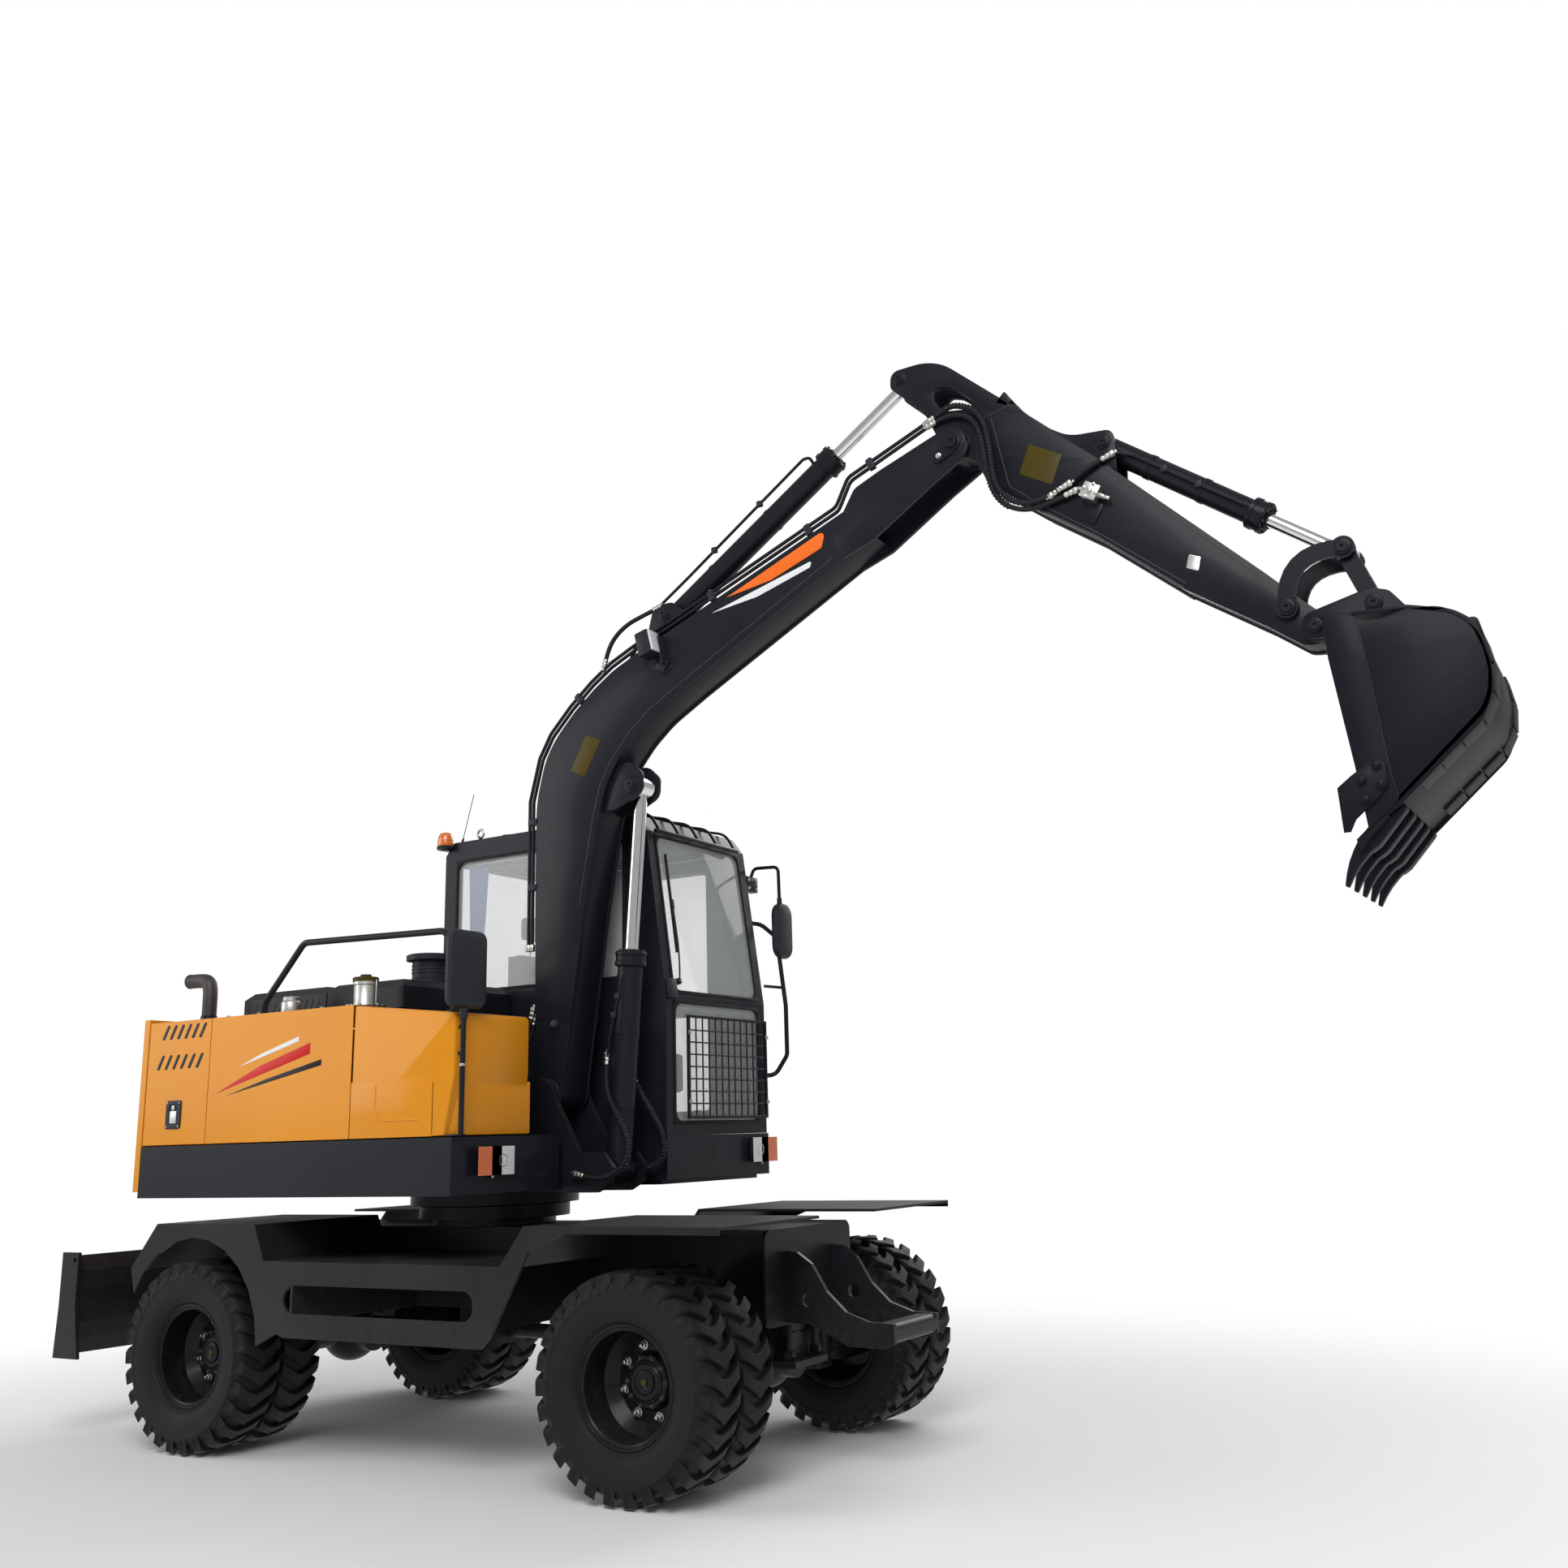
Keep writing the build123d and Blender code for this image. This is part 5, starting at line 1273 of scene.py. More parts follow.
def sealRing(window, plane, level):
    # rubber strip round a window, lying half on the frame and half on the glass
    corner, wide, thick = cabFacts["corner"], cabFacts["sealWidth"], cabFacts["sealRise"] + 0.004
    a0, a1, b0, b1 = windows[window]
    a0, a1, b0, b1 = a0 - wide / 2, a1 + wide / 2, b0 - wide / 2, b1 + wide / 2
    outside = boxLine(a0, a1, b0, b1, 0.012)
    inside = boxLine(a0 + wide, a1 - wide, b0 + wide, b1 - wide, corner)
    return flatPlate(sealRubber, [rounded(outside, 6), rounded(inside, 6)], plane, level, thick, 0.002)


def cabSeals():
    facts = cabFacts
    rise = facts["sealRise"]
    right, rear = (facts[face] - rise / 2 + 0.002 for face in ("rightFace", "rearFace"))
    left, front = (facts[face] + rise / 2 - 0.002 for face in ("leftFace", "frontFace"))
    fixed = [
        sealRing("rightRear", "XZ", right),
        sealRing("rightFront", "XZ", right),
        sealRing("leftRear", "XZ", left),
        sealRing("rear", "YZ", rear),
        sealRing("lowerFront", "YZ", front)]
    screen = sealRing("screen", "XY", 0)
    screen.data.transform(screenStand())
    fixed.append(screen)
    joined("cab_seals", "upper", fixed)
    swinging = [sealRing(window, "XZ", left) for window in ("doorUpper", "doorLower")]
    joined("door_seals", "cab_door", swinging)


cabSeals()


def cabPanes():
    # glass that the CAD model leaves open: windscreen, lower front, rear and left-hand windows
    facts = cabFacts
    behind = 0.006
    rows = [
        # window, plane, level
        ("lowerFront", "YZ", facts["frontFace"] - behind),
        ("rear", "YZ", facts["rearFace"] + behind),
        ("leftRear", "XZ", facts["leftFace"] - behind),
        ("screen", "XY", -behind)]
    parts = [
        flatPlate(clearGlass, [boxLine(*windows[window])], plane, level, 0.005, 0.001)
        for window, plane, level in rows]
    parts[-1].data.transform(screenStand())
    joined("cab_panes", "upper", parts)


cabPanes()


def wiper():
    # motor cover, arm and blade low on the near edge of the windscreen
    stand = screenStand()
    motor = block(blackPlastic, (0.07, 0.1, 0.026), (0.15, 0.03, 0.014), 0.008)
    hub = turned(
        blackPlastic, [(0.003, 0), (0.017, 0), (0.017, 0.018), (0.012, 0.026), (0.003, 0.026)],
        (0.215, 0.07, 0.004), (0, 0, 1), 28)
    cap = turned(
        zinc, [(0.0006, 0.026), (0.007, 0.026), (0.007, 0.029), (0.0006, 0.031)], (0.215, 0.07, 0.004),
        (0, 0, 1), 20)
    arm = tube(
        blackPlastic,
        routeLine([(0.215, 0.07, 0.022), (0.222, 0.15, 0.03), (0.226, 0.3, 0.034), (0.228, 0.47, 0.026)]),
        0.0045, 12)
    blade = block(blackPlastic, (0.008, 0.52, 0.01), (0.236, 0.48, 0.016), 0.002)
    lip = block(sealRubber, (0.003, 0.52, 0.008), (0.236, 0.48, 0.008), 0.0008)
    clip = block(blackPlastic, (0.018, 0.05, 0.012), (0.232, 0.47, 0.024), 0.002)
    parts = [motor, hub, cap, arm, blade, lip, clip]
    for part in parts:
        part.data.transform(stand)
    joined("wiper", "upper", parts)


wiper()


def bentPath(points, bend, steps=6):
    # straight runs joined by round bends
    points = [Vector(point) for point in points]
    path = [points[0]]
    for before, here, after in zip(points, points[1:], points[2:]):
        back, on = before - here, after - here
        half = back.angle(on) / 2
        cut = min(bend / math.tan(half), back.length * 0.48, on.length * 0.48)
        start, end = here + back.normalized() * cut, here + on.normalized() * cut
        for k in range(steps + 1):
            t = k / steps
            path.append(start * (1 - t) ** 2 + here * 2 * t * (1 - t) + end * t ** 2)
    return path + [points[-1]]


def mirrorHead(x, y0, y1, z0, z1, depth, corner):
    # housing with rounded corners and a domed front, glass in its rear face
    line = rounded(boxLine(y0, y1, z0, z1, corner), 8)
    shell = flatPlate(blackPlastic, [line], "YZ", x, depth, depth * 0.42)
    g = 0.016
    inner = rounded(boxLine(y0 + g, y1 - g, z0 + g, z1 - g, corner - g / 2), 8)
    pane = flatPlate(mirrorGlass, [inner], "YZ", x - depth / 2 - 0.0004, 0.002, 0.0006)
    return [shell, pane]


def railsAndMirrors():
    # deck rail, right-hand mirror on its pole, left-hand mirror and grab rail
    rail = [
        (-1.04, -0.9, 2.011), (-1.04, -0.9, 2.07), (-0.773, -0.9, 2.352), (0.17, -0.9, 2.326),
        (0.23, -0.9, 2.2), (0.23, -0.9, 1.958)]
    parts = [tube(charcoal, bentPath(rail, 0.06), 0.016, 20)]
    for x, z in ((-1.04, 2.011), (0.23, 1.952)):
        parts.append(turned(
            charcoal, [(0.014, 0), (0.034, 0), (0.033, 0.006), (0.018, 0.01), (0.014, 0.01)], (x, -0.9, z),
            (0, 0, 1), 28))
    joined("deck_rail", "upper", parts)
    parts = mirrorHead(0.38, -1.104, -0.866, 1.953, 2.3, 0.05, 0.046)
    parts += [
        bar(charcoal, 0.012, (0.38, -0.995, 1.404), (0.38, -0.995, 1.96), 20),
        block(charcoal, (0.09, 0.04, 0.008), (0.35, -0.995, 1.406), 0.002),
        bar(blackPlastic, 0.018, (0.38, -0.995, 1.905), (0.38, -0.995, 1.955), 24, 0.004),
        bar(zinc, 0.0155, (0.38, -0.995, 1.7), (0.38, -0.995, 1.712), 24, 0.002)]
    loop = [(0.372, -0.995, 1.885), (0.345, -0.995, 1.86), (0.345, -0.995, 1.77), (0.37, -0.995, 1.745)]
    parts.append(tube(sealRubber, bentPath(loop, 0.02), 0.005, 12))
    joined("mirror_right", "upper", parts)
    parts = mirrorHead(0.766, 1.034, 1.206, 2.311, 2.62, 0.046, 0.07)
    parts += [
        block(charcoal, (0.051, 0.12, 0.086), (0.5705, 1.09, 2.743), 0.006),
        tube(
            charcoal,
            bentPath(
                [(0.575, 1.1, 2.77), (0.602, 1.1, 2.834), (0.763, 1.1, 2.826), (0.766, 1.1, 2.605)], 0.036),
            0.0095, 20),
        bar(blackPlastic, 0.014, (0.766, 1.1, 2.6), (0.766, 1.1, 2.65), 24, 0.004)]
    joined("mirror_left", "upper", parts)
    grab = [
        (0.604, 1.03, 2.516), (0.64, 1.1, 2.514), (0.742, 1.1, 2.43), (0.789, 1.1, 2.05),
        (0.789, 1.1, 1.786), (0.712, 1.1, 1.684), (0.68, 1.03, 1.68)]
    parts = [
        tube(charcoal, bentPath(grab, 0.05), 0.012, 20),
        bar(charcoal, 0.008, (0.7, 1.02, 2.16), (0.781, 1.098, 2.15), 16)]
    for place, way in (((0.604, 1.03, 2.516), (0, 1, 0)), ((0.68, 1.03, 1.68), (0, 1, 0))):
        parts.append(turned(
            charcoal, [(0.01, 0), (0.026, 0), (0.025, 0.005), (0.012, 0.008), (0.01, 0.008)], place, way,
            28))
    whole = joined("grab_rail", "upper", parts)
    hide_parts("rails_and_mirrors")


railsAndMirrors()
boltRow(
    "mirror_bracket_bolts", "upper", zinc, 0.014,
    [((0.5965, y, z), (1, 0, 0)) for y in (1.05, 1.13) for z in (2.718, 2.764)])
boltRow(
    "guard_bolts", "upper", zinc, 0.016,
    [((0.717, y, z), (1, 0, 0)) for y in (0.277, 1.003) for z in (1.54, 1.88)])


def doorHandles():
    # pull handle on the door
    y = cabFacts["leftFace"]
    base = flatPlate(blackPlastic, [boxLine(0.29, 0.4, 2.05, 2.088, 0.016)], "XZ", y + 0.004, 0.008, 0.002)
    grip = tube(
        blackPlastic,
        routeLine([
            (0.3, y + 0.006, 2.069), (0.304, y + 0.034, 2.069), (0.33, y + 0.042, 2.069),
            (0.362, y + 0.042, 2.069), (0.386, y + 0.034, 2.069), (0.39, y + 0.006, 2.069)]),
        0.008, 16)
    joined("door_handle", "cab_door", [base, grip])


doorHandles()


def roofKit():
    # hatch, vent, rack over the windscreen, lifting eye, beacon and antenna
    hatch = flatPlate(charcoal, [boxLine(-0.6, 0.33, 0.25, 0.89, 0.05)], "XY", 3.011, 0.021, 0.007)
    vent = turned(
        charcoal,
        [
            (0.003, 0), (0.05, 0), (0.046, 0.01), (0.044, 0.092), (0.048, 0.098), (0.048, 0.108),
            (0.003, 0.11)],
        (-0.74, 0.56, 3.001), (0, 0, 1), 40)
    parts = [hatch, vent]
    low, high = (0.604, 2.908), (0.42, 3.036)
    parts.append(bar(charcoal, 0.011, (low[0], 0.15, low[1]), (low[0], 0.93, low[1]), 16))
    parts.append(bar(charcoal, 0.01, (high[0], 0.19, high[1]), (high[0], 0.9, high[1]), 16))
    for i in range(5):
        y = 0.19 + i * 0.1775
        rib = bentPath(
            [(high[0], y, high[1]), (low[0] - 0.06, y, high[1] - 0.028), (low[0], y, low[1])], 0.12)
        parts.append(tube(charcoal, rib, 0.0075, 12))
        parts.append(bar(charcoal, 0.006, (high[0], y, 2.99), (high[0], y, high[1]), 12))
    parts.append(bar(charcoal, 0.01, (-0.63, 0.19, 2.996), (-0.63, 0.19, 3.032), 20))
    startFresh()
    bpy.ops.mesh.primitive_torus_add(
        major_radius=0.022, minor_radius=0.007, major_segments=32, minor_segments=12,
        location=(-0.63, 0.19, 3.05), rotation=(math.pi / 2, 0, 0))
    parts.append(settle(zinc, 0, 60))
    whole = joined("roof_rack", "upper", parts)
    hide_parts("roof_fittings")
    beaconFoot = (-0.8, 0.092, 2.965)
    bracket = block(charcoal, (0.06, 0.09, 0.006), (-0.79, 0.12, 2.962), 0.002)
    base = turned(
        blackPlastic, [(0.003, 0), (0.046, 0), (0.048, 0.004), (0.048, 0.016), (0.044, 0.02), (0.003, 0.02)],
        beaconFoot, (0, 0, 1), 48)
    dome = [
        (0.003, 0.02), (0.043, 0.02), (0.0445, 0.03), (0.0435, 0.055), (0.04, 0.075), (0.032, 0.089),
        (0.018, 0.096), (0.003, 0.098)]
    shade = turned(beaconLens, dome, beaconFoot, (0, 0, 1), 48)
    joined("beacon", "upper", [bracket, base, shade])
    foot = turned(
        blackPlastic, [(0.001, 0), (0.016, 0), (0.014, 0.01), (0.008, 0.022), (0.005, 0.05), (0.001, 0.05)],
        (-0.745, 0.16, 2.985), (0.3, 0, 1), 24)
    whip = bar(blackPlastic, 0.0022, (-0.732, 0.16, 3.03), (-0.66, 0.16, 3.275), 10, 0.0004)
    joined("antenna", "upper", [foot, whip])


roofKit()
print("cab dressed")

# ---- inside the cab: cushions, curtain, controls, lining

seatFacts = {
    "middle": 0.6,        # y of the seat and the steering column
    "voxel": 0.006,
    "pressure": 4.0,
    "cap": 0.016,           # how far a point of the cover may move
    "console": 0.29,        # from the seat's middle to that of each console
    "wheelRadius": 0.172,   # steering wheel
    "wheelRim": 0.0115,
}


def cushion(name, size, place, turn=0.0, channels=()):
    # crowned pad: rounded box swollen by cloth pressure, then sewn channels pressed in
    startFresh()
    bpy.ops.mesh.primitive_cube_add(size=1, scale=size)
    made = bpy.context.object
    bpy.ops.object.transform_apply(location=True, rotation=True, scale=True)
    soften(made, min(size) * 0.3, 4)
    remesh = made.modifiers.new("even", "REMESH")
    remesh.mode, remesh.voxel_size = "VOXEL", seatFacts["voxel"] * 2
    bpy.ops.object.modifier_apply(modifier="even")
    before = [vertex.co.copy() for vertex in made.data.vertices]
    cover = made.modifiers.new("cover", "CLOTH")
    cover.settings.use_pressure = True
    cover.settings.uniform_pressure_force = seatFacts["pressure"]
    cover.settings.effector_weights.gravity = 0
    cover.settings.quality = 5
    cover.point_cache.frame_start, cover.point_cache.frame_end = 1, 20
    for frameNumber in range(1, 21):
        bpy.context.scene.frame_set(frameNumber)
    bpy.ops.object.modifier_apply(modifier="cover")
    bpy.context.scene.frame_set(1)
    for vertex, home in zip(made.data.vertices, before):
        shift = vertex.co - home
        if shift.length > seatFacts["cap"]:
            vertex.co = home + shift.normalized() * seatFacts["cap"]
    for vertex in made.data.vertices:
        for line in channels:
            near = math.exp(-((vertex.co.x - line) / 0.007) ** 2)
            if vertex.co.z > 0:
                vertex.co.z -= 0.01 * near
    finer = made.modifiers.new("finer", "SUBSURF")
    finer.levels = finer.render_levels = 1
    bpy.ops.object.modifier_apply(modifier="finer")
    made.rotation_euler = (0, turn, 0)
    made.location = place
    settle(seatCloth, 0, 60)
    made.name = made.data.name = name
    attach(made, "upper")


def dressSeat():
    y = seatFacts["middle"]
    cushion("seat_cushion", (0.47, 0.42, 0.085), (-0.24, y, 1.885), 0.0, (-0.12, 0.06))
    cushion("seat_back", (0.48, 0.4, 0.08), (-0.55, y, 2.16), -math.pi / 2, (-0.13, 0.06))
    cushion("head_rest", (0.13, 0.24, 0.07), (-0.555, y, 2.54), -math.pi / 2)
    parts = [
        block(blackPlastic, (0.34, 0.32, 0.06), (-0.26, y, 1.8), 0.02),
        block(blackPlastic, (0.3, 0.28, 0.34), (-0.26, y, 1.6), 0.03),
        block(blackPlastic, (0.018, 0.38, 0.44), (-0.6, y, 2.16), 0.008),
        bar(zinc, 0.006, (-0.556, y - 0.06, 2.39), (-0.556, y - 0.06, 2.5), 12),
        bar(zinc, 0.006, (-0.556, y + 0.06, 2.39), (-0.556, y + 0.06, 2.5), 12)]
    whole = joined("seat_frame", "upper", parts)
    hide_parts("seat")


dressSeat()


def dressControls():
    y = seatFacts["middle"]
    centre = Vector((0.29, y, 2.1))
    startFresh()
    bpy.ops.mesh.primitive_torus_add(
        major_radius=seatFacts["wheelRadius"], minor_radius=seatFacts["wheelRim"], major_segments=64,
        minor_segments=14, location=centre, rotation=(0, math.atan2(0.35, 1), 0))
    ring = settle(blackPlastic, 0, 60)
    tilt = Vector((0.35, 0, 1)).normalized()
    across = Vector((1, 0, -0.35)).normalized()
    parts = [
        ring,
        turned(
            blackPlastic,
            [(0.002, -0.03), (0.034, -0.03), (0.042, -0.01), (0.04, 0.006), (0.03, 0.012), (0.002, 0.012)],
            centre, tilt, 32)]
    for way in (Vector((0, 1, 0)), Vector((0, -1, 0)), -across):
        parts.append(bar(blackPlastic, 0.0095, centre + way * 0.03, centre + way * 0.168, 12, 0.002))
    parts.append(bar(blackPlastic, 0.03, (0.33, y, 1.414), (0.302, y, 2.075), 24, 0.004))
    parts.append(block(blackPlastic, (0.11, 0.16, 0.2), (0.345, y, 1.7), 0.02))
    for side in (-1, 1):
        middle = y + side * seatFacts["console"]
        parts.append(block(cabPlastic, (0.47, 0.096, 0.34), (-0.185, middle, 1.6), 0.022))
        parts.append(block(seatCloth, (0.33, 0.086, 0.06), (-0.235, middle, 1.968), 0.022))
        parts.append(bar(blackPlastic, 0.024, (-0.235, middle, 1.76), (-0.235, middle, 1.945), 20, 0.003))
        foot = Vector((0.0, middle, 1.77))
        for k in range(5):
            parts.append(turned(
                sealRubber,
                [
                    (0.002, 0), (0.05 - 0.007 * k, 0), (0.052 - 0.007 * k, 0.008),
                    (0.046 - 0.007 * k, 0.016), (0.002, 0.016)],
                foot + Vector((0, 0, 0.014 * k)), (0, 0, 1), 24))
        parts.append(bar(
            blackPlastic, 0.009, foot + Vector((0, 0, 0.07)), (0.026, y + side * 0.282, 2.11), 12))
        grip = turned(
            blackPlastic,
            [
                (0.002, 0), (0.02, 0), (0.024, 0.02), (0.021, 0.046), (0.025, 0.066), (0.024, 0.084),
                (0.012, 0.094), (0.002, 0.095)],
            (0.024, y + side * 0.282, 2.105), (0.14, 0, 1), 24)
        parts.append(grip)
    whole = joined("cab_controls", "upper", parts)
    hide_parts("controls")


dressControls()


def dressCurtain():
    # gathered curtain: each row keeps its cut width, so deeper folds where it is drawn in
    facts = {
        "left": -0.695, "top": 2.862, "bottom": 2.17, "y": 0.176, "folds": 7, "topWidth": 0.13,
        "tieWidth": 0.058, "cut": 0.3, "rows": 36, "steps": 126}

    def row(width, amplitude, drift):
        line = []
        for k in range(facts["steps"] + 1):
            s = k / facts["steps"]
            wave = math.sin(2 * math.pi * facts["folds"] * s)
            line.append((drift + width * s, amplitude * wave * (0.8 + 0.2 * math.sin(9 * s))))
        return line

    def reach(line):
        return sum(math.dist(a, b) for a, b in zip(line, line[1:]))

    startFresh()
    bpy.ops.mesh.primitive_grid_add(x_subdivisions=facts["steps"], y_subdivisions=facts["rows"], size=1)
    made = bpy.context.object
    across = facts["steps"] + 1
    for j in range(facts["rows"] + 1):
        fall = j / facts["rows"]
        draw = math.exp(-((fall - 0.18) / 0.16) ** 2)
        width = facts["topWidth"] * fall + facts["tieWidth"] * (1 - fall) + 0.016 * (1 - draw)
        drift = 0.03 * (1 - fall)
        low, high = 0.0, 0.02
        for _ in range(24):
            middle = (low + high) / 2
            if reach(row(width, middle, drift)) < facts["cut"]:
                low = middle
            else:
                high = middle
        z = facts["bottom"] + (facts["top"] - facts["bottom"]) * fall
        for k, (x, y) in enumerate(row(width, low, drift)):
            made.data.vertices[j * across + k].co = (facts["left"] + x, facts["y"] + y, z)
    thicken = made.modifiers.new("thick", "SOLIDIFY")
    thicken.thickness, thicken.offset = 0.0012, 0
    bpy.ops.object.modifier_apply(modifier="thick")
    settle(curtainCloth, 0, 60)
    made.name = made.data.name = "curtain_cloth"
    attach(made, "upper")
    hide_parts("curtain")
    rail = bar(zinc, 0.005, (-0.715, 0.176, 2.874), (-0.07, 0.176, 2.874), 12)
    joined("curtain_rail", "upper", [rail])


dressCurtain()


def cabLining():
    # moulded ceiling, floor mat and pedals
    ceiling = flatPlate(headLining, [boxLine(-0.72, 0.45, 0.17, 0.97, 0.05)], "XY", 2.946, 0.014, 0.004)
    mat = flatPlate(sealRubber, [boxLine(-0.74, 0.63, 0.17, 0.97, 0.04)], "XY", 1.416, 0.01, 0.003)
    pedals = [
        block(blackPlastic, (0.09, 0.07, 0.012), (0.42, y, 1.48), 0.004, (0, -0.5, 0))
        for y in (0.48, 0.72)]
    pedals += [bar(zinc, 0.007, (0.43, y, 1.42), (0.424, y, 1.476), 12) for y in (0.48, 0.72)]
    joined("cab_lining", "upper", [ceiling, mat] + pedals)


cabLining()
print("cab inside made")

# ---- boom, stick and bucket: welded plates over their box sections


def inset(corners, distance):
    # the same outline drawn in by a distance, radii kept
    area = sum(a[0] * b[1] - b[0] * a[1] for a, b in zip(corners, corners[1:] + corners[:1]))
    way = 1 if area > 0 else -1
    line = []
    for i, corner in enumerate(corners):
        here = Vector(corner[:2])
        first = (here - Vector(corners[i - 1][:2])).normalized()
        last = (Vector(corners[(i + 1) % len(corners)][:2]) - here).normalized()
        normals = [Vector((-edge.y, edge.x)) * way for edge in (first, last)]
        middle = (normals[0] + normals[1]).normalized()
        place = here + middle * distance / max(0.4, middle.dot(normals[0]))
        line.append((place.x, place.y) + tuple(corner[2:]))
    return line


def platePair(material, outlines, inner, thick, edge=0.002):
    # like plates on both sides of the arm's middle plane
    return [
        flatPlate(material, outlines, "XZ", armMiddle + side * (inner + thick / 2), thick, edge)
        for side in (-1, 1)]


def crossPin(material, pin, radius, half):
    x, z = pins[pin]
    return bar(material, radius, (x, armMiddle - half, z), (x, armMiddle + half, z), 40, 0.004)


def bead(body, name, lines, y):
    # weld seams along open lines on the faces y on both sides of the middle plane; their pale grey is a
    # painted highlight along each seam
    parts = []
    for line in lines:
        for side in (-1, 1):
            path = [Vector((x, armMiddle + side * y, z)) for x, z in line]
            parts.append(tube(seamAndEdgeHighlightGrey, bentPath(path, 0.06), 0.0022, 8))
    return joined(name, body, parts)


boomTop = [
    (0.128, 1.64), (0.112, 2.52, 0.9), (0.112, 3.057, 0.6), (0.165, 3.267, 0.5), (0.23, 3.375, 0.5),
    (0.354, 3.5, 0.5), (0.486, 3.605, 0.5), (0.605, 3.68, 0.5), (0.744, 3.74, 0.5), (1.971, 4.215)]
boomLow = [
    (2.12, 4.068), (1.04, 3.512, 0.9), (0.838, 3.401, 0.5), (0.722, 3.307, 0.5), (0.626, 3.2, 0.5),
    (0.556, 3.083, 0.5), (0.51, 2.927, 0.9), (0.425, 2.486), (0.3, 1.64)]
boomFoot = [(0.292, 1.56, 0.08), (0.235, 1.495, 0.08), (0.16, 1.497, 0.08), (0.11, 1.56, 0.08)]
boomNotch = [
    (0.3445, 1.941), (0.339, 1.941), (0.289, 1.93), (0.24, 1.827, 0.014), (0.202, 1.938), (0.169, 1.951),
    (0.1225, 1.951)]
boomHead = [
    (1.9, 4.1), (2.032, 4.315, 0.06), (2.173, 4.373, 0.2), (2.476, 4.478, 0.3), (2.598, 4.492, 0.07),
    (2.634, 4.348, 0.07), (2.45, 4.246, 0.3), (2.12, 4.04), (1.96, 3.985)]


def dressBoom():
    core = flatPlate(armPaint, [inset(boomTop + boomLow + boomFoot, 0.007)], "XZ", armMiddle, 0.2, 0.003)
    parts = [core]
    parts += platePair(armPaint, [boomTop + boomLow + boomFoot], 0.0935, 0.011)
    parts += platePair(armPaint, [boomTop[1:] + boomLow[:-1] + boomNotch], 0.1045, 0.003, 0.001)
    parts += platePair(armPaint, [rounded(boomHead, 8)], 0.0875, 0.022)
    parts += platePair(
        armPaint,
        [[
            (0.5, 2.96), (0.52, 3.16), (0.69, 3.2, 0.06), (0.766, 3.13, 0.04), (0.762, 3.03, 0.06),
            (0.69, 2.996, 0.06), (0.6, 2.96)]],
        0.062, 0.02)
    parts += platePair(
        armPaint, [[(0.78, 3.74), (0.846, 3.984, 0.05), (0.961, 3.981, 0.05), (1.08, 3.88), (1.08, 3.85)]],
        0.066, 0.02)
    for pin, radius, half in (
            ("boomFoot", 0.078, 0.112), ("armRamBase", 0.044, 0.092), ("boomRamEye", 0.044, 0.088),
            ("stick", 0.068, 0.1135)):
        parts.append(crossPin(armPaint, pin, radius, half))
    whole = joined("boom_plates", "boom", parts)
    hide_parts("boom")
    bead(
        "boom", "boom_seams",
        [[
            (0.395, 2.5), (0.478, 2.935), (0.524, 3.096), (0.596, 3.218), (0.698, 3.332), (0.82, 3.43),
            (1.03, 3.545), (1.9, 3.995)]],
        0.1078)
    sites = [
        ((x, armMiddle + side * 0.1072, z), (0, side, 0))
        for side in (-1, 1)
        for x, z in ((0.244, 1.926), (0.2, 1.6))]
    boltRow("boom_foot_bolts", "boom", engineIron, 0.03, sites)


dressBoom()


def dressPipes():
    # steel pipes on the boom, with clamps
    near = [
        (0.088, 2.3), (0.086, 3.064), (0.144, 3.28), (0.212, 3.394), (0.34, 3.52), (0.472, 3.626),
        (0.594, 3.703), (0.736, 3.765), (1.94, 4.228), (2.01, 4.362), (2.448, 4.534)]
    upper = [
        (0.064, 2.3), (0.062, 3.07), (0.122, 3.292), (0.194, 3.412), (0.324, 3.54), (0.458, 3.646),
        (0.582, 3.725), (0.726, 3.788), (1.926, 4.251), (1.996, 4.384), (2.44, 4.556)]
    rows = [
        (-0.098, near), (-0.098, upper), (0.098, near[:8] + [(1.86, 4.198)]), (-0.04, near[:7]),
        (0.04, near[:7])]
    parts = []
    for y, line in rows:
        parts.append(tube(armPaint, bentPath([(x, armMiddle + y, z) for x, z in line], 0.06), 0.009, 16))
    clamps = [
        # x, z, lean of the boom's back
        (0.112, 2.62, 1.57), (0.11, 2.96, 1.57), (0.4, 3.552, 0.7), (1.22, 3.935, 0.369),
        (1.78, 4.15, 0.369), (2.13, 4.4, 0.369)]
    for x, z, turn in clamps:
        for y in (-0.098, 0.098):
            off = Vector((-math.sin(turn), 0, math.cos(turn))) * 0.022
            parts.append(block(
                blackPlastic, (0.034, 0.028, 0.058), Vector((x, armMiddle + y, z)) + off, 0.004,
                (0, -turn, 0)))
            parts.append(boltAt(zinc, 0.012, off, Vector((x, armMiddle + y, z)) + off * 2.3))
    for y, line in rows[:2]:
        x, z = line[-1]
        parts.append(bar(
            zinc, 0.0155, (x - 0.024, armMiddle + y, z - 0.009), (x + 0.006, armMiddle + y, z + 0.002), 6,
            0.002))
    for y, line in rows:
        x, z = line[0]
        parts.append(bar(
            zinc, 0.0155, (x, armMiddle + y, z - 0.004), (x, armMiddle + y, z + 0.03), 6, 0.002))
    whole = joined("boom_pipework", "boom", parts)
    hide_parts("boom_pipes")


dressPipes()

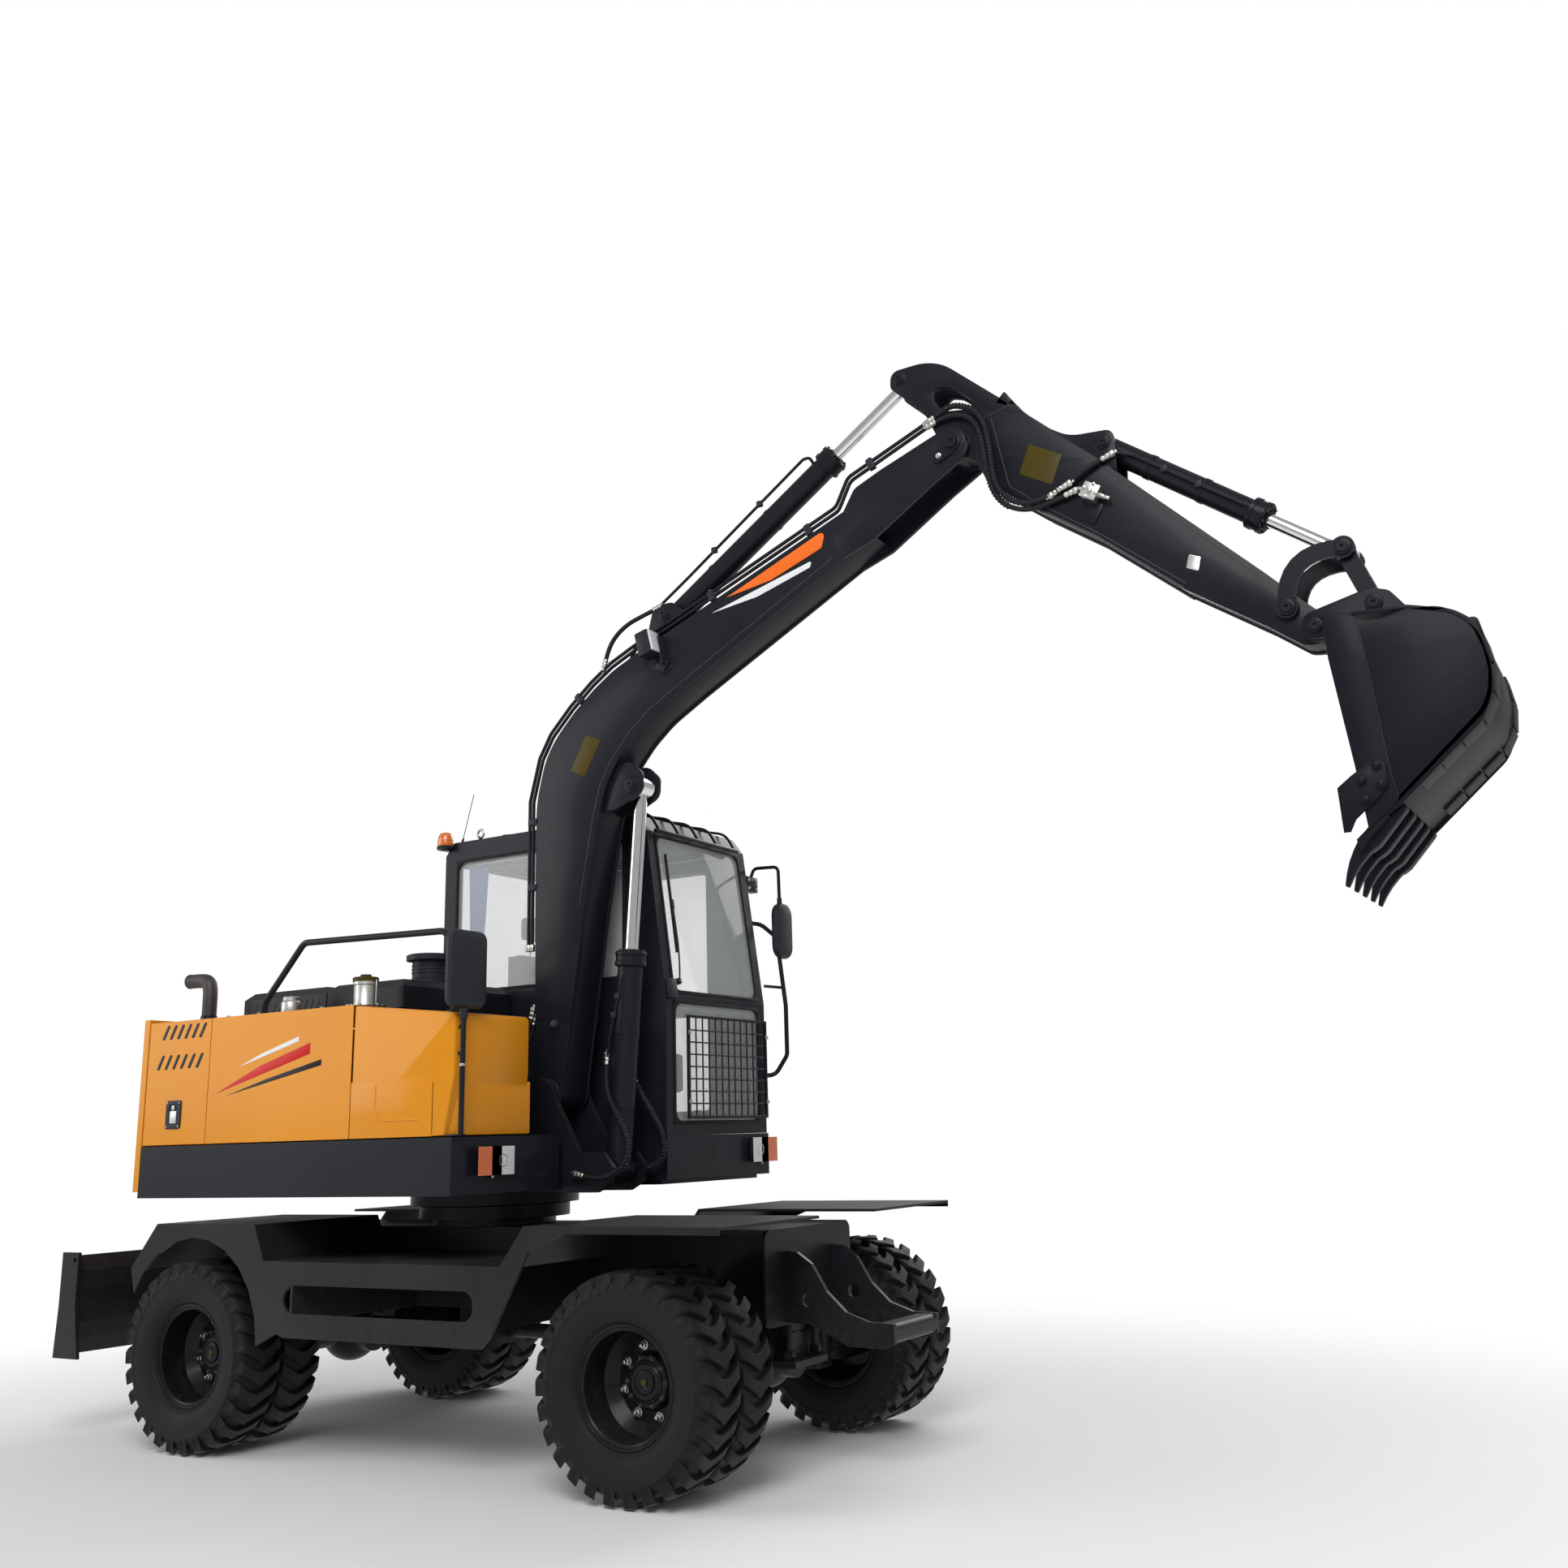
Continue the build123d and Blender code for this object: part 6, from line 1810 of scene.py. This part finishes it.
stickSide = [
    (2.234, 4.786, 0.04), (2.24, 4.87, 0.044), (2.473, 4.87, 0.426), (2.905, 4.464), (3.204, 4.174),
    (3.858, 3.494), (3.99, 3.35), (4.096, 3.24, 0.05), (4.04, 3.156, 0.05), (3.975, 3.166, 0.06),
    (3.845, 3.27, 0.2), (3.525, 3.5), (3.177, 3.81, 0.6), (2.918, 4.0, 0.3), (2.7, 4.18, 0.06),
    (2.64, 4.33, 0.06), (2.48, 4.34), (2.46, 4.48, 0.06), (2.41, 4.6, 0.15), (2.33, 4.69, 0.2)]
stickCore = [(2.468, 4.345), (2.475, 4.49), (2.52, 4.552), (2.65, 4.556), (2.7, 4.645)] + stickSide[3:16]
hornWindow = [
    (2.454, 4.668, 0.026), (2.474, 4.73, 0.026), (2.54, 4.704, 0.04), (2.642, 4.612, 0.02),
    (2.64, 4.566, 0.02), (2.496, 4.592, 0.024)]


def dressStick():
    parts = platePair(armPaint, [rounded(stickSide, 8), hornWindow], 0.0605, 0.022)
    parts.append(flatPlate(armPaint, [inset(stickCore, 0.006)], "XZ", armMiddle, 0.13, 0.002))
    parts.append(flatPlate(
        armPaint, [[(2.76, 4.56), (2.806, 4.606, 0.008), (2.84, 4.552), (2.81, 4.53)]], "XZ", armMiddle,
        0.165, 0.003))
    parts += platePair(
        armPaint,
        [[
            (2.9, 4.44), (2.99, 4.378), (3.09, 4.306, 0.2), (3.286, 4.287, 0.04), (3.296, 4.195, 0.03),
            (3.29, 4.09), (3.16, 4.19), (2.92, 4.4)]],
        0.06, 0.018)
    for pin, radius, half in (
            ("bucket", 0.056, 0.105), ("rocker", 0.044, 0.086), ("stick", 0.07, 0.0855),
            ("armRamEye", 0.036, 0.087), ("bucketRamBase", 0.038, 0.082)):
        parts.append(crossPin(armPaint, pin, radius, half))
    whole = joined("stick_plates", "stick", parts)
    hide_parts("stick")
    bead(
        "stick", "stick_seams",
        [
            [(2.701, 4.5), (2.838, 4.536), (3.01, 4.345), (3.19, 4.16), (3.83, 3.49)],
            [(2.735, 4.489), (2.8, 4.14), (2.925, 4.03), (3.2, 3.815), (3.54, 3.52)]],
        0.0828)
    # thin pale strip just inside the lower edge of each side plate: painted highlight; the alloy tag is a
    # real plate
    strip = platePair(
        seamAndEdgeHighlightGrey,
        [[(2.93, 3.99), (3.177, 3.806), (3.525, 3.496), (3.53, 3.503), (3.183, 3.813), (2.936, 3.998)]],
        0.0826, 0.0012, 0.0003)
    tag = flatPlate(
        alloy, [[(3.564, 3.64, 0.006), (3.612, 3.618, 0.006), (3.597, 3.558, 0.006), (3.548, 3.583, 0.006)]],
        "XZ", armMiddle - 0.0841, 0.003, 0.0008)
    joined("stick_highlight_strips_and_tag", "stick", strip + [tag])
    caps = [
        # body, pin, face distance from the middle plane, radius
        ("stick", "armRamEye", 0.087, 0.03), ("stick", "bucketRamBase", 0.082, 0.03),
        ("stick", "bucket", 0.1365, 0.03), ("rocker", "rocker", 0.106, 0.034),
        ("rocker", "bucketRamEye", 0.106, 0.034), ("bucket", "link", 0.1365, 0.034),
        ("boom", "armRamBase", 0.0925, 0.03), ("boom", "boomRamEye", 0.0885, 0.032)]
    for i, (body, pin, face, radius) in enumerate(caps):
        for side in (-1, 1):
            pinCap(
                f"pin_cap_{i}_{'near' if side < 0 else 'far'}", body, pin, armMiddle + side * face, side,
                radius)


dressStick()
print("boom and stick plated")

bucketFacts = {
    "half": 0.375,
    "bandRise": 0.006,
    "sideSheet": 0.014,
    "wearPitch": 0.102,
    "wearLength": 0.094,
    "wearWidth": 0.15,
    "wearThick": 0.009,
    "teeth": 5,
    "toothPitch": 0.155,
}
bucketSide = [
    (4.177, 2.358), (4.158, 2.58), (4.11, 3.007), (4.102, 3.182, 0.038), (4.19, 3.166, 0.03),
    (4.25, 3.132, 0.06), (4.31, 3.128, 0.06), (4.4, 3.15, 0.15), (4.535, 3.132, 0.15), (4.625, 3.02, 0.15),
    (4.648, 2.9, 0.15), (4.644, 2.8, 0.12), (4.6, 2.7, 0.15), (4.3, 2.44)]
bucketBand = bucketSide[:5] + [(4.222, 3.149), (4.243, 2.948), (4.271, 2.579), (4.289, 2.452)]
skinOuter = [
    (4.209, 3.172), (4.393, 3.164, 0.15), (4.547, 3.116, 0.15), (4.618, 3.058, 0.15), (4.642, 2.957, 0.15),
    (4.65, 2.87, 0.15), (4.636, 2.79, 0.15), (4.613, 2.729, 0.15), (4.288, 2.448), (4.15, 2.333)]
skinInner = [
    (4.158, 2.352), (4.28, 2.462), (4.594, 2.74, 0.13), (4.622, 2.8, 0.13), (4.634, 2.872, 0.13),
    (4.627, 2.952, 0.13), (4.6, 3.046, 0.13), (4.539, 3.101, 0.13), (4.39, 3.148, 0.13), (4.209, 3.156)]
cutterLine = [
    (4.089, 2.52), (4.14, 2.558), (4.209, 2.6), (4.25, 2.6, 0.016), (4.264, 2.578), (4.264, 2.508, 0.014),
    (4.224, 2.465), (4.174, 2.427), (4.14, 2.4, 0.02), (4.117, 2.357), (4.094, 2.357)]
cutterBolts = [(4.231, 2.582), (4.174, 2.534), (4.239, 2.511), (4.182, 2.462)]


def bucketTooth(y):
    # adapter on the lip with a tapered point pinned on it
    adapter = flatPlate(
        bucketPaint,
        [[
            (4.165, 2.372), (4.285, 2.464), (4.312, 2.43, 0.016), (4.2, 2.306), (4.172, 2.288),
            (4.128, 2.332)]],
        "XZ", y, 0.062, 0.006)
    root, tip = Vector((4.16, y, 2.322)), Vector((4.07, y, 2.172))
    startFresh()
    bpy.ops.mesh.primitive_cube_add(size=1, scale=(0.064, 0.05, 1))
    point = bpy.context.object
    bpy.ops.object.transform_apply(location=False, rotation=False, scale=True)
    length = (tip - root).length
    for vertex in point.data.vertices:
        vertex.co.z = (vertex.co.z + 0.5) * length
        if vertex.co.z > 0:
            vertex.co.x *= 0.22
            vertex.co.y *= 0.56
    pickEdges(point, lambda a, b: abs(a.z - b.z) > 0.05)
    bpy.ops.mesh.subdivide(number_cuts=3)
    bpy.ops.object.mode_set(mode="OBJECT")
    for vertex in point.data.vertices:
        share = vertex.co.z / length
        vertex.co.x += 0.01 * math.sin(math.pi * share)
    way = (tip - root).normalized()
    side = Vector((0, 1, 0))
    point.data.transform(Matrix.Translation(root) @ Matrix((
        side.cross(way), side, way)).transposed().to_4x4())
    point = settle(bucketPaint, 0.004, 40)
    pin = bar(engineIron, 0.009, (4.186, y - 0.034, 2.352), (4.186, y + 0.034, 2.352), 16)
    return [adapter, point, pin]


def dressBucket():
    facts = bucketFacts
    half, rise, sheet = facts["half"], facts["bandRise"], facts["sideSheet"]
    parts = [
        flatPlate(
            bucketPaint, [rounded(skinOuter + skinInner, 8)], "XZ", armMiddle, 2 * (half - rise), 0.002),
        flatPlate(
            bucketPaint, [[(4.13, 2.33), (4.165, 2.36), (4.23, 2.42), (4.25, 2.4), (4.14, 2.29)]], "XZ",
            armMiddle, 2 * (half - rise), 0.003),
        flatPlate(
            bucketPaint,
            [[(4.53, 3.1), (4.553, 3.183, 0.02), (4.594, 3.18, 0.02), (4.616, 3.07), (4.6, 3.05)]], "XZ",
            armMiddle, 0.024, 0.003)]
    parts += platePair(bucketPaint, [rounded(bucketSide, 8)], half - rise - sheet, sheet, 0.003)
    parts += platePair(bucketPaint, [rounded(bucketBand, 8)], half - rise, rise, 0.002)
    parts += platePair(bucketPaint, [cutterLine], half, 0.014, 0.002)
    parts += platePair(
        bucketPaint,
        [[
            (4.15, 3.16), (4.085, 3.166, 0.06), (3.985, 3.174, 0.046), (3.989, 3.272, 0.046),
            (4.248, 3.332, 0.05), (4.316, 3.308, 0.05), (4.42, 3.16, 0.1), (4.3, 3.15)]],
        0.111, 0.025, 0.003)
    for pin, radius in (("bucket", 0.026), ("link", 0.024)):
        parts.append(crossPin(engineIron, pin, radius, 0.1355))
    for i in range(facts["teeth"]):
        parts += bucketTooth(armMiddle + (i - 2) * facts["toothPitch"])
    for side in (-1, 1):
        for x, z in cutterBolts:
            parts.append(boltAt(bucketPaint, 0.026, (0, side, 0), (x, armMiddle + side * (half + 0.014), z)))
    whole = joined("bucket_plates", "bucket", parts)
    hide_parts("bucket")
    # wear plates along the heel
    heel = [Vector(corner[:2]) for corner in [(4.63, 3.0)] + skinOuter[4:9]]
    reach = [0.0]
    for a, b in zip(heel, heel[1:]):
        reach.append(reach[-1] + (b - a).length)

    def onHeel(distance):
        for k in range(len(heel) - 1):
            if distance <= reach[k + 1]:
                return heel[k].lerp(heel[k + 1], (distance - reach[k]) / (reach[k + 1] - reach[k]))
        return heel[-1]

    plates = []
    for i in range(int(reach[-1] / facts["wearPitch"])):
        foot = 0.01 + i * facts["wearPitch"]
        start, end = onHeel(foot), onHeel(foot + facts["wearLength"])
        way = (end - start).normalized()
        out = Vector((-way.y, way.x))
        if out.x < 0:
            out = -out
        bed, top = out * -0.004, out * facts["wearThick"]
        outline = [tuple(start + bed), tuple(end + bed), tuple(end + top), tuple(start + top)]
        inner = half - rise - facts["wearWidth"]
        plates += platePair(wearBand, [outline], inner, facts["wearWidth"] - 0.001, 0.0015)
    joined("bucket_wear_plates", "bucket", plates)
    bead(
        "bucket", "bucket_seams", [[(4.222, 3.146), (4.243, 2.948), (4.271, 2.579), (4.287, 2.46)]],
        half - rise + 0.0005)


dressBucket()
print("bucket plated")

# ---- cylinders: gland collars, bands and steel pipes

rams = [
    # body, its pin, the rod's pin, barrel length, barrel radius
    ("boom_ram_barrel", "boomRamBase", "boomRamEye", 1.03, 0.062),
    ("arm_ram_barrel", "armRamBase", "armRamEye", 1.16, 0.058),
    ("bucket_ram_barrel", "bucketRamBase", "bucketRamEye", 0.8, 0.052),
]


def ramTrim(body, base, eye, barrel, radius):
    # gland collars and seal, ring of bolts, pipe bands
    base, eye = (Vector((pins[pin][0], armMiddle, pins[pin][1])) for pin in (base, eye))
    way = (eye - base).normalized()
    end = base + way * barrel
    parts = []
    for low, high in ((-0.074, -0.048), (-0.024, -0.002)):
        inner, outer, slope = radius + 0.011, radius + 0.016, 0.004
        collar = [(inner, low), (outer, low + slope), (outer, high - slope), (inner, high)]
        parts.append(turned(armPaint, collar, end, way, 48))
    wiper = [
        (radius * 0.56, -0.002), (radius * 0.78, -0.002), (radius * 0.78, 0.006), (radius * 0.66, 0.01),
        (radius * 0.56, 0.01)]
    parts.append(turned(sealRubber, wiper, end, way, 48))
    side = Vector((0, 1, 0)).cross(way)
    for k in range(8):
        turn = 2 * math.pi * (k + 0.5) / 8
        out = side * math.cos(turn) + Vector((0, 1, 0)) * math.sin(turn)
        bolt = bar(
            engineIron, 0.006, end + out * (radius + 0.001) - way * 0.001,
            end + out * (radius + 0.001) + way * 0.008, 12, 0.001)
        parts.append(bolt)
    for share in (0.28, 0.62):
        parts.append(turned(
            armPaint, boxLine(radius - 0.001, radius + 0.003, -0.01, 0.01), base + way * barrel * share, way,
            48))
    return joined(body + "_trim", body, parts)


for row in rams:
    ramTrim(*row)
armRamPipe = [
    (1.775, -0.13, 4.54), (1.768, -0.16, 4.566), (1.735, -0.165, 4.56), (1.399, -0.165, 4.335),
    (1.053, -0.165, 4.102), (0.89, -0.172, 3.99), (0.852, -0.174, 3.97)]
ramPipes = [
    # body, points
    ("boom_ram_barrel",
     [(0.69, -0.1, 2.196), (0.655, -0.15, 2.19), (0.622, -0.162, 2.12), (0.59, -0.162, 1.99),
      (0.548, -0.158, 1.85), (0.524, -0.147, 1.745)]),
    ("arm_ram_barrel", armRamPipe),
    ("arm_ram_barrel", [(x, 2 * armMiddle - y, z) for x, y, z in armRamPipe]),
    ("bucket_ram_barrel",
     [(3.262, -0.19, 4.158), (3.3, -0.172, 4.172), (3.36, -0.16, 4.15), (3.56, -0.16, 3.996),
      (3.79, -0.16, 3.82), (3.826, -0.14, 3.79)]),
]
for i, (body, points) in enumerate(ramPipes):
    pipeRun = tube(armPaint, bentPath(points, 0.04), 0.0075, 16)
    saddles = []
    for share in (0.3, 0.62):
        at = Vector(points[2]).lerp(Vector(points[-2]), share)
        saddles.append(block(blackPlastic, (0.03, 0.02, 0.03), at, 0.003))
    joined(f"ram_pipe_{i}", body, [pipeRun] + saddles)
print("cylinders dressed")

# ---- louvres and tank


def slotField(name, body, face, side, rows, wide, tall, lean):
    # slanted louvre slots on a panel, each a thin black film: painted shade in place of open slots
    parts = []
    for x0, z, count, pitch in rows:
        for k in range(count):
            x = x0 + k * pitch
            shift = lean * tall / 2
            line = [
                (x - wide / 2 - shift, z + tall / 2, wide * 0.45),
                (x + wide / 2 - shift, z + tall / 2, wide * 0.45),
                (x + wide / 2 + shift, z - tall / 2, wide * 0.45),
                (x - wide / 2 + shift, z - tall / 2, wide * 0.45)]
            parts.append(flatPlate(blackStripeAndPaintedShade, [line], "XZ", face + side * 0.0006, 0.001, 0.0002))
    return joined(name, body, parts)


for name, body, face, side in (
        ("door_slots_right", "side_door_right", -1.02, -1), ("door_slots_left", "side_door_left", 1.03, 1)):
    slotField(
        name, body, face, side, [(-1.614, 1.956, 6, 0.056), (-1.641, 1.808, 6, 0.059)], 0.022, 0.072, -0.55)
for name, face, side in (("hood_slots_right", -0.69, -1), ("hood_slots_left", 0.69, 1)):
    slotField(name, "hood", face, side, [(-1.4, 2.072, 12, 0.046)], 0.016, 0.064, -0.35)


def dressTank():
    # fuel tank with a sloping top, its toolbox and lid, pressed line below the lid
    tank = flatPlate(
        yellowPaint,
        [[(-0.277, 1.404), (-0.277, 2.005, 0.01), (0.355, 1.937, 0.024), (0.355, 1.669), (0.3, 1.404)]],
        "XZ", -0.77, 0.5, 0.012)
    box = flatPlate(
        yellowPaint,
        [[(0.205, -1.02), (0.25, -1.02, 0.06), (0.345, -0.966, 0.04), (0.345, -0.5), (0.205, -0.5)]], "XY",
        1.5235, 0.239, 0.008)
    lid = flatPlate(
        yellowPaint,
        [[(0.205, -1.014), (0.246, -1.014, 0.06), (0.338, -0.962, 0.04), (0.338, -0.606), (0.205, -0.606)]],
        "XY", 1.656, 0.024, 0.006)
    low = flatPlate(
        yellowPaint, [[(-0.277, 1.404), (-0.277, 1.655), (0.23, 1.655), (0.23, 1.404)]], "XZ", -1.0195,
        0.003, 0.001)
    press = tube(
        yellowPaint,
        bentPath(
            [
                (-0.12, -1.0205, 1.64), (-0.12, -1.0205, 1.478), (0.165, -1.0205, 1.478),
                (0.228, -1.0205, 1.412)],
            0.09),
        0.004, 12)
    whole = joined("tank_body", "upper", [tank, box, lid, low, press])
    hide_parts("tank_and_toolbox")


dressTank()
print("panels detailed")

# ---- floor and backdrop


def whiteStage():
    # pale floor that keeps the shadow near the machine and fades into the white behind it
    bpy.ops.mesh.primitive_circle_add(vertices=64, radius=90, fill_type="NGON", location=(0, 0, -0.0005))
    floor = bpy.context.object
    floor.name = "floor"
    material, shader, place = newMaterial("floorWhite", Roughness=0.9, Specular_IOR_Level=0.1)
    shade = place.noise(0.6, 2.0).blend((0.8, 0.8, 0.8), (0.82, 0.82, 0.82))
    feed(shader, Base_Color=shade)
    tree = material.node_tree
    reach = place.node("ShaderNodeVectorMath", {"operation": "LENGTH"}, {0: place}, out="Value")
    path = tree.nodes.new("ShaderNodeLightPath")
    seen = Wire(tree, path.outputs["Is Camera Ray"])
    mirrored = Wire(tree, path.outputs["Is Glossy Ray"]) + Wire(tree, path.outputs["Is Transmission Ray"])
    far = reach.ramp(2.6, 6.5)
    white = tree.nodes.new("ShaderNodeEmission")
    mix = tree.nodes.new("ShaderNodeMixShader")
    share = seen * far + mirrored * 0.5
    tree.links.new(share.socket, mix.inputs["Fac"])
    tree.links.new(shader.outputs[0], mix.inputs[1])
    tree.links.new(white.outputs[0], mix.inputs[2])
    tree.links.new(mix.outputs[0], tree.nodes["Material Output"].inputs["Surface"])
    floor.data.materials.append(material)


whiteStage()

world = bpy.data.worlds.new("paleSky")
bpy.context.scene.world = world
world.use_nodes = True
worldTree = world.node_tree
skyNode = worldTree.nodes["Background"]
rays = worldTree.nodes.new("ShaderNodeLightPath")
seen = Wire(worldTree, rays.outputs["Is Camera Ray"])
through = Wire(worldTree, rays.outputs["Is Transmission Ray"])
skyNode.inputs["Color"].default_value = (1.0, 1.0, 1.0, 1)
strength = 0.42 + (seen + through) * 0.58
worldTree.links.new(strength.socket, skyNode.inputs["Strength"])
